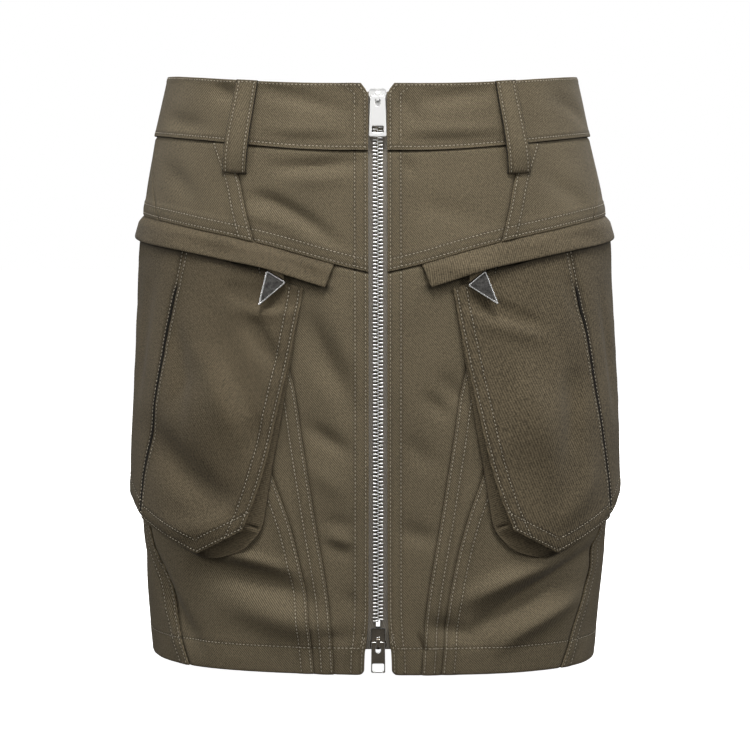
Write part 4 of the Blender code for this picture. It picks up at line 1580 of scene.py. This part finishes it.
def soft_box(name, place, aim, size, power):
    light = bpy.data.lights.new(name, "AREA")
    light.shape = "SQUARE"
    light.size = size
    light.energy = power
    item = put(name, light)
    item.location = place
    item.rotation_euler = (Vector(aim) - Vector(place)).to_track_quat("-Z", "Y").to_euler()


def make_world():
    """Even studio light, with plain white behind the object."""
    colours = bpy.context.scene.skirt_colours
    world = bpy.data.worlds.new("studio")
    bpy.context.scene.world = world
    world.use_nodes = True
    tree = world.node_tree
    fill = tree.nodes["Background"]
    fill.inputs["Color"].default_value = (*colours.studio, 1)
    fill.inputs["Strength"].default_value = STUDIO_FILL
    backdrop = tree.nodes.new("ShaderNodeBackground")
    backdrop.inputs["Color"].default_value = (1, 1, 1, 1)
    path = tree.nodes.new("ShaderNodeLightPath")
    mix = tree.nodes.new("ShaderNodeMixShader")
    tree.links.new(path.outputs["Is Camera Ray"], mix.inputs[0])
    tree.links.new(fill.outputs[0], mix.inputs[1])
    tree.links.new(backdrop.outputs[0], mix.inputs[2])
    tree.links.new(mix.outputs[0], tree.nodes["World Output"].inputs["Surface"])


def make_camera():
    camera = bpy.data.cameras.new("camera")
    camera.lens = CAMERA_LENS
    camera.sensor_width = 36.0
    camera.clip_start = 0.05
    item = put("camera", camera)
    turn = math.radians(CAMERA_TURN)
    item.location = (CAMERA_AWAY * math.sin(turn), -CAMERA_AWAY * math.cos(turn), CAMERA_HEIGHT)
    aim = Vector((0, 0, CAMERA_AIM)) - item.location
    item.rotation_euler = aim.to_track_quat("-Z", "Y").to_euler()
    bpy.context.scene.camera = item


def make_floor():
    lowest = min(corner[2] for corner in CAD_BOX)
    deselect()
    bpy.ops.mesh.primitive_circle_add(vertices=96, radius=14.0, fill_type="NGON",
                                      location=(0, 0, lowest - FLOOR_GAP * MM))
    item = bpy.context.object
    item.name = "studio_floor"
    bpy.ops.object.transform_apply(location=True)
    edit_all(item)
    bpy.ops.mesh.inset(thickness=0.4, depth=0.0)
    leave_edit()
    colour = bpy.context.scene.skirt_colours.floor
    paint = Paint("pale_floor")
    cloud = paint.noise(paint.object_place(), 3.0, 2.0)
    item.data.materials.append(paint.done(
        Base_Color=paint.mix(cloud, tone(colour, 0.985), tone(colour, 1.0)), Roughness=0.8,
        Emission_Color=(1, 1, 1, 1), Emission_Strength=1.0))
    item.visible_diffuse = False
    item.visible_glossy = False


# ---------------------------------------------------------------- settings
def colour_setting(name, description, default):
    return bpy.props.FloatVectorProperty(name=name, description=description, default=default,
                                         subtype="COLOR", size=3, min=0.0, max=1.0)


def length_setting(name, description, default):
    return bpy.props.FloatProperty(name=name, description=description, default=default,
                                   unit="LENGTH", subtype="DISTANCE", min=0.0, precision=5)


class SkirtSizes(bpy.types.PropertyGroup):
    """Sizes of the cloth, its stitching and the zip's teeth"""

    cloth: length_setting("Cloth", "Thickness of the main cloth", 0.0013)
    band: length_setting("Waistband", "Thickness of the waistband", 0.0022)
    twill_pitch: length_setting("Twill pitch", "Distance between the twill's lines", 0.00115)
    stitch_pitch: length_setting("Stitch pitch", "Distance between stitches", 0.0026)
    thread: length_setting("Thread", "Thickness of the sewing thread", 0.00052)
    tooth_pitch: length_setting("Tooth pitch", "Distance between teeth on one side", 0.0024)


class SkirtColours(bpy.types.PropertyGroup):
    """Colours of the cloth, thread, metal and studio"""

    twill: colour_setting("Twill", "Olive brown of the main cloth", (0.125, 0.100, 0.061))
    pocket_twill: colour_setting("Pocket twill", "Cloth of pockets and flaps",
                                 (0.100, 0.078, 0.046))
    thread: colour_setting("Thread", "Topstitching thread", (0.42, 0.365, 0.27))
    tape: colour_setting("Zip tape", "Woven tape of the zip", (0.19, 0.168, 0.135))
    nickel: colour_setting("Nickel", "Bright plated metal", (0.86, 0.85, 0.83))
    dark_nickel: colour_setting("Dark nickel", "Darker plated metal", (0.085, 0.073, 0.058))
    silver: colour_setting("Aged silver", "Faces of the metal drops", (0.055, 0.053, 0.05))
    floor: colour_setting("Floor", "Studio floor", (0.9, 0.9, 0.9))
    studio: colour_setting("Studio", "Light from all round", (1.0, 1.0, 1.0))


# ---------------------------------------------------------------- operators
def make_group(pieces, thickness, material, slot, stitching="", **sheet):
    """Makes the sheets of some pieces, and their topstitching if it has a name."""
    for piece in pieces:
        make_cloth(piece, thickness, material, slot, **sheet)
    if stitching:
        sew(stitching, pieces)
    return {"FINISHED"}


class SKIRT_OT_waistband(bpy.types.Operator):
    """Make both halves of the waistband"""

    bl_idname = "skirt.waistband"
    bl_label = "Waistband"

    def execute(self, context):
        return make_group(band_pieces(), context.scene.skirt_sizes.band / MM, body_twill(),
                          "twill_body", "waistband_stitching")


class SKIRT_OT_yoke(bpy.types.Operator):
    """Make the six panels of the yoke"""

    bl_idname = "skirt.yoke"
    bl_label = "Yoke"

    def execute(self, context):
        return make_group(yoke_pieces(), context.scene.skirt_sizes.cloth / MM, body_twill(),
                          "twill_body", "yoke_stitching")


class SKIRT_OT_lower_panels(bpy.types.Operator):
    """Make the panels from the yoke down to the hem"""

    bl_idname = "skirt.lower_panels"
    bl_label = "Lower panels"

    def execute(self, context):
        pieces = lower_pieces()
        make_group(pieces, context.scene.skirt_sizes.cloth / MM, body_twill(), "twill_body",
                   held="hung", rests_on=["yoke_back_l", "yoke_back_r"])
        front = [piece for piece in pieces if not piece.node.startswith("back")]
        back = [piece for piece in pieces if piece.node.startswith("back")]
        sew("front_stitching", front)
        sew("back_stitching", back)
        return {"FINISHED"}


class SKIRT_OT_belt_loops(bpy.types.Operator):
    """Make the five belt loops"""

    bl_idname = "skirt.belt_loops"
    bl_label = "Belt loops"

    def execute(self, context):
        return make_group(loop_pieces(), LOOP_CLOTH, body_twill(), "twill_pockets",
                          "loop_stitching")


class SKIRT_OT_pockets(bpy.types.Operator):
    """Make the bellows pockets with their side strips"""

    bl_idname = "skirt.pockets"
    bl_label = "Pockets"

    def execute(self, context):
        pieces = pocket_pieces()
        make_group(pieces, POCKET_CLOTH, pocket_twill(), "twill_pockets")
        rows = [row for side, mark in SIDES for row in make_gusset(side, mark)]
        sew("pocket_stitching", pieces, rows)
        return {"FINISHED"}


class SKIRT_OT_flaps(bpy.types.Operator):
    """Make the pocket flaps and the tabs that hold the metal drops"""

    bl_idname = "skirt.flaps"
    bl_label = "Flaps and tabs"

    def execute(self, context):
        make_group(flap_pieces(), FLAP_CLOTH, pocket_twill(), "twill_pockets", held="hung",
                   rests_on=["yoke_front_l", "yoke_front_r"])
        return make_group(drop_tab_pieces(), DROP_TAB_CLOTH, pocket_twill(), "twill_pockets",
                          held="hung")


class SKIRT_OT_zip(bpy.types.Operator):
    """Make the zip's tapes, teeth, sliders and pull tabs"""

    bl_idname = "skirt.zip"
    bl_label = "Zip"

    def execute(self, context):
        make_group(tape_pieces(), TAPE_CLOTH, ribbed_tape(), "zip_tape")
        make_teeth()
        bright = ["bright_nickel_plate"]
        dark = ["dark_nickel_plate", "polished_silver_rim"]
        make_slider("zip_slider_top", SLIDER_TOP, 1, BRIDGE_TOP, bright)
        make_slider("zip_slider_bottom", SLIDER_BOTTOM, -1, BRIDGE_BOTTOM, dark)
        make_pull("zip_pull_top", SLIDER_TOP, BRIDGE_TOP, PULL_TOP, "pull_top", bright)
        make_pull("zip_pull_bottom", SLIDER_BOTTOM, BRIDGE_BOTTOM, PULL_BOTTOM, "pull_bottom",
                  dark)
        return {"FINISHED"}


class SKIRT_OT_drops(bpy.types.Operator):
    """Make the two triangular metal drops"""

    bl_idname = "skirt.drops"
    bl_label = "Metal drops"

    def execute(self, context):
        for tab in DROP_TABS:
            make_drop(tab)
        return {"FINISHED"}


class SKIRT_OT_stage(bpy.types.Operator):
    """Set the floor, the studio light and the camera"""

    bl_idname = "skirt.stage"
    bl_label = "Stage"

    def execute(self, context):
        make_floor()
        make_world()
        for box in SOFT_BOXES:
            soft_box(*box)
        make_camera()
        context.scene.view_settings.view_transform = "Standard"
        return {"FINISHED"}


OPERATORS = (SKIRT_OT_stage, SKIRT_OT_waistband, SKIRT_OT_yoke, SKIRT_OT_lower_panels,
             SKIRT_OT_belt_loops, SKIRT_OT_pockets, SKIRT_OT_flaps, SKIRT_OT_zip,
             SKIRT_OT_drops)


class SKIRT_PT_panel(bpy.types.Panel):
    """Lists the skirt's pieces and settings"""

    bl_idname = "SKIRT_PT_panel"
    bl_label = "Cargo utility skirt"
    bl_space_type = "VIEW_3D"
    bl_region_type = "UI"
    bl_category = "Skirt"

    def draw(self, context):
        layout = self.layout
        for group in (context.scene.skirt_sizes, context.scene.skirt_colours):
            box = layout.box()
            for name in group.__annotations__:
                box.prop(group, name)
        for operator in OPERATORS:
            layout.operator(operator.bl_idname)


CLASSES = (SkirtSizes, SkirtColours, *OPERATORS, SKIRT_PT_panel)


def register():
    for item in CLASSES:
        bpy.utils.register_class(item)
    bpy.types.Scene.skirt_sizes = bpy.props.PointerProperty(type=SkirtSizes)
    bpy.types.Scene.skirt_colours = bpy.props.PointerProperty(type=SkirtColours)


def unregister():
    del bpy.types.Scene.skirt_colours
    del bpy.types.Scene.skirt_sizes
    for item in reversed(CLASSES):
        bpy.utils.unregister_class(item)


def main():
    register()
    for operator in OPERATORS:
        group, name = operator.bl_idname.split(".")
        getattr(getattr(bpy.ops, group), name)()


if __name__ == "__main__":
    main()
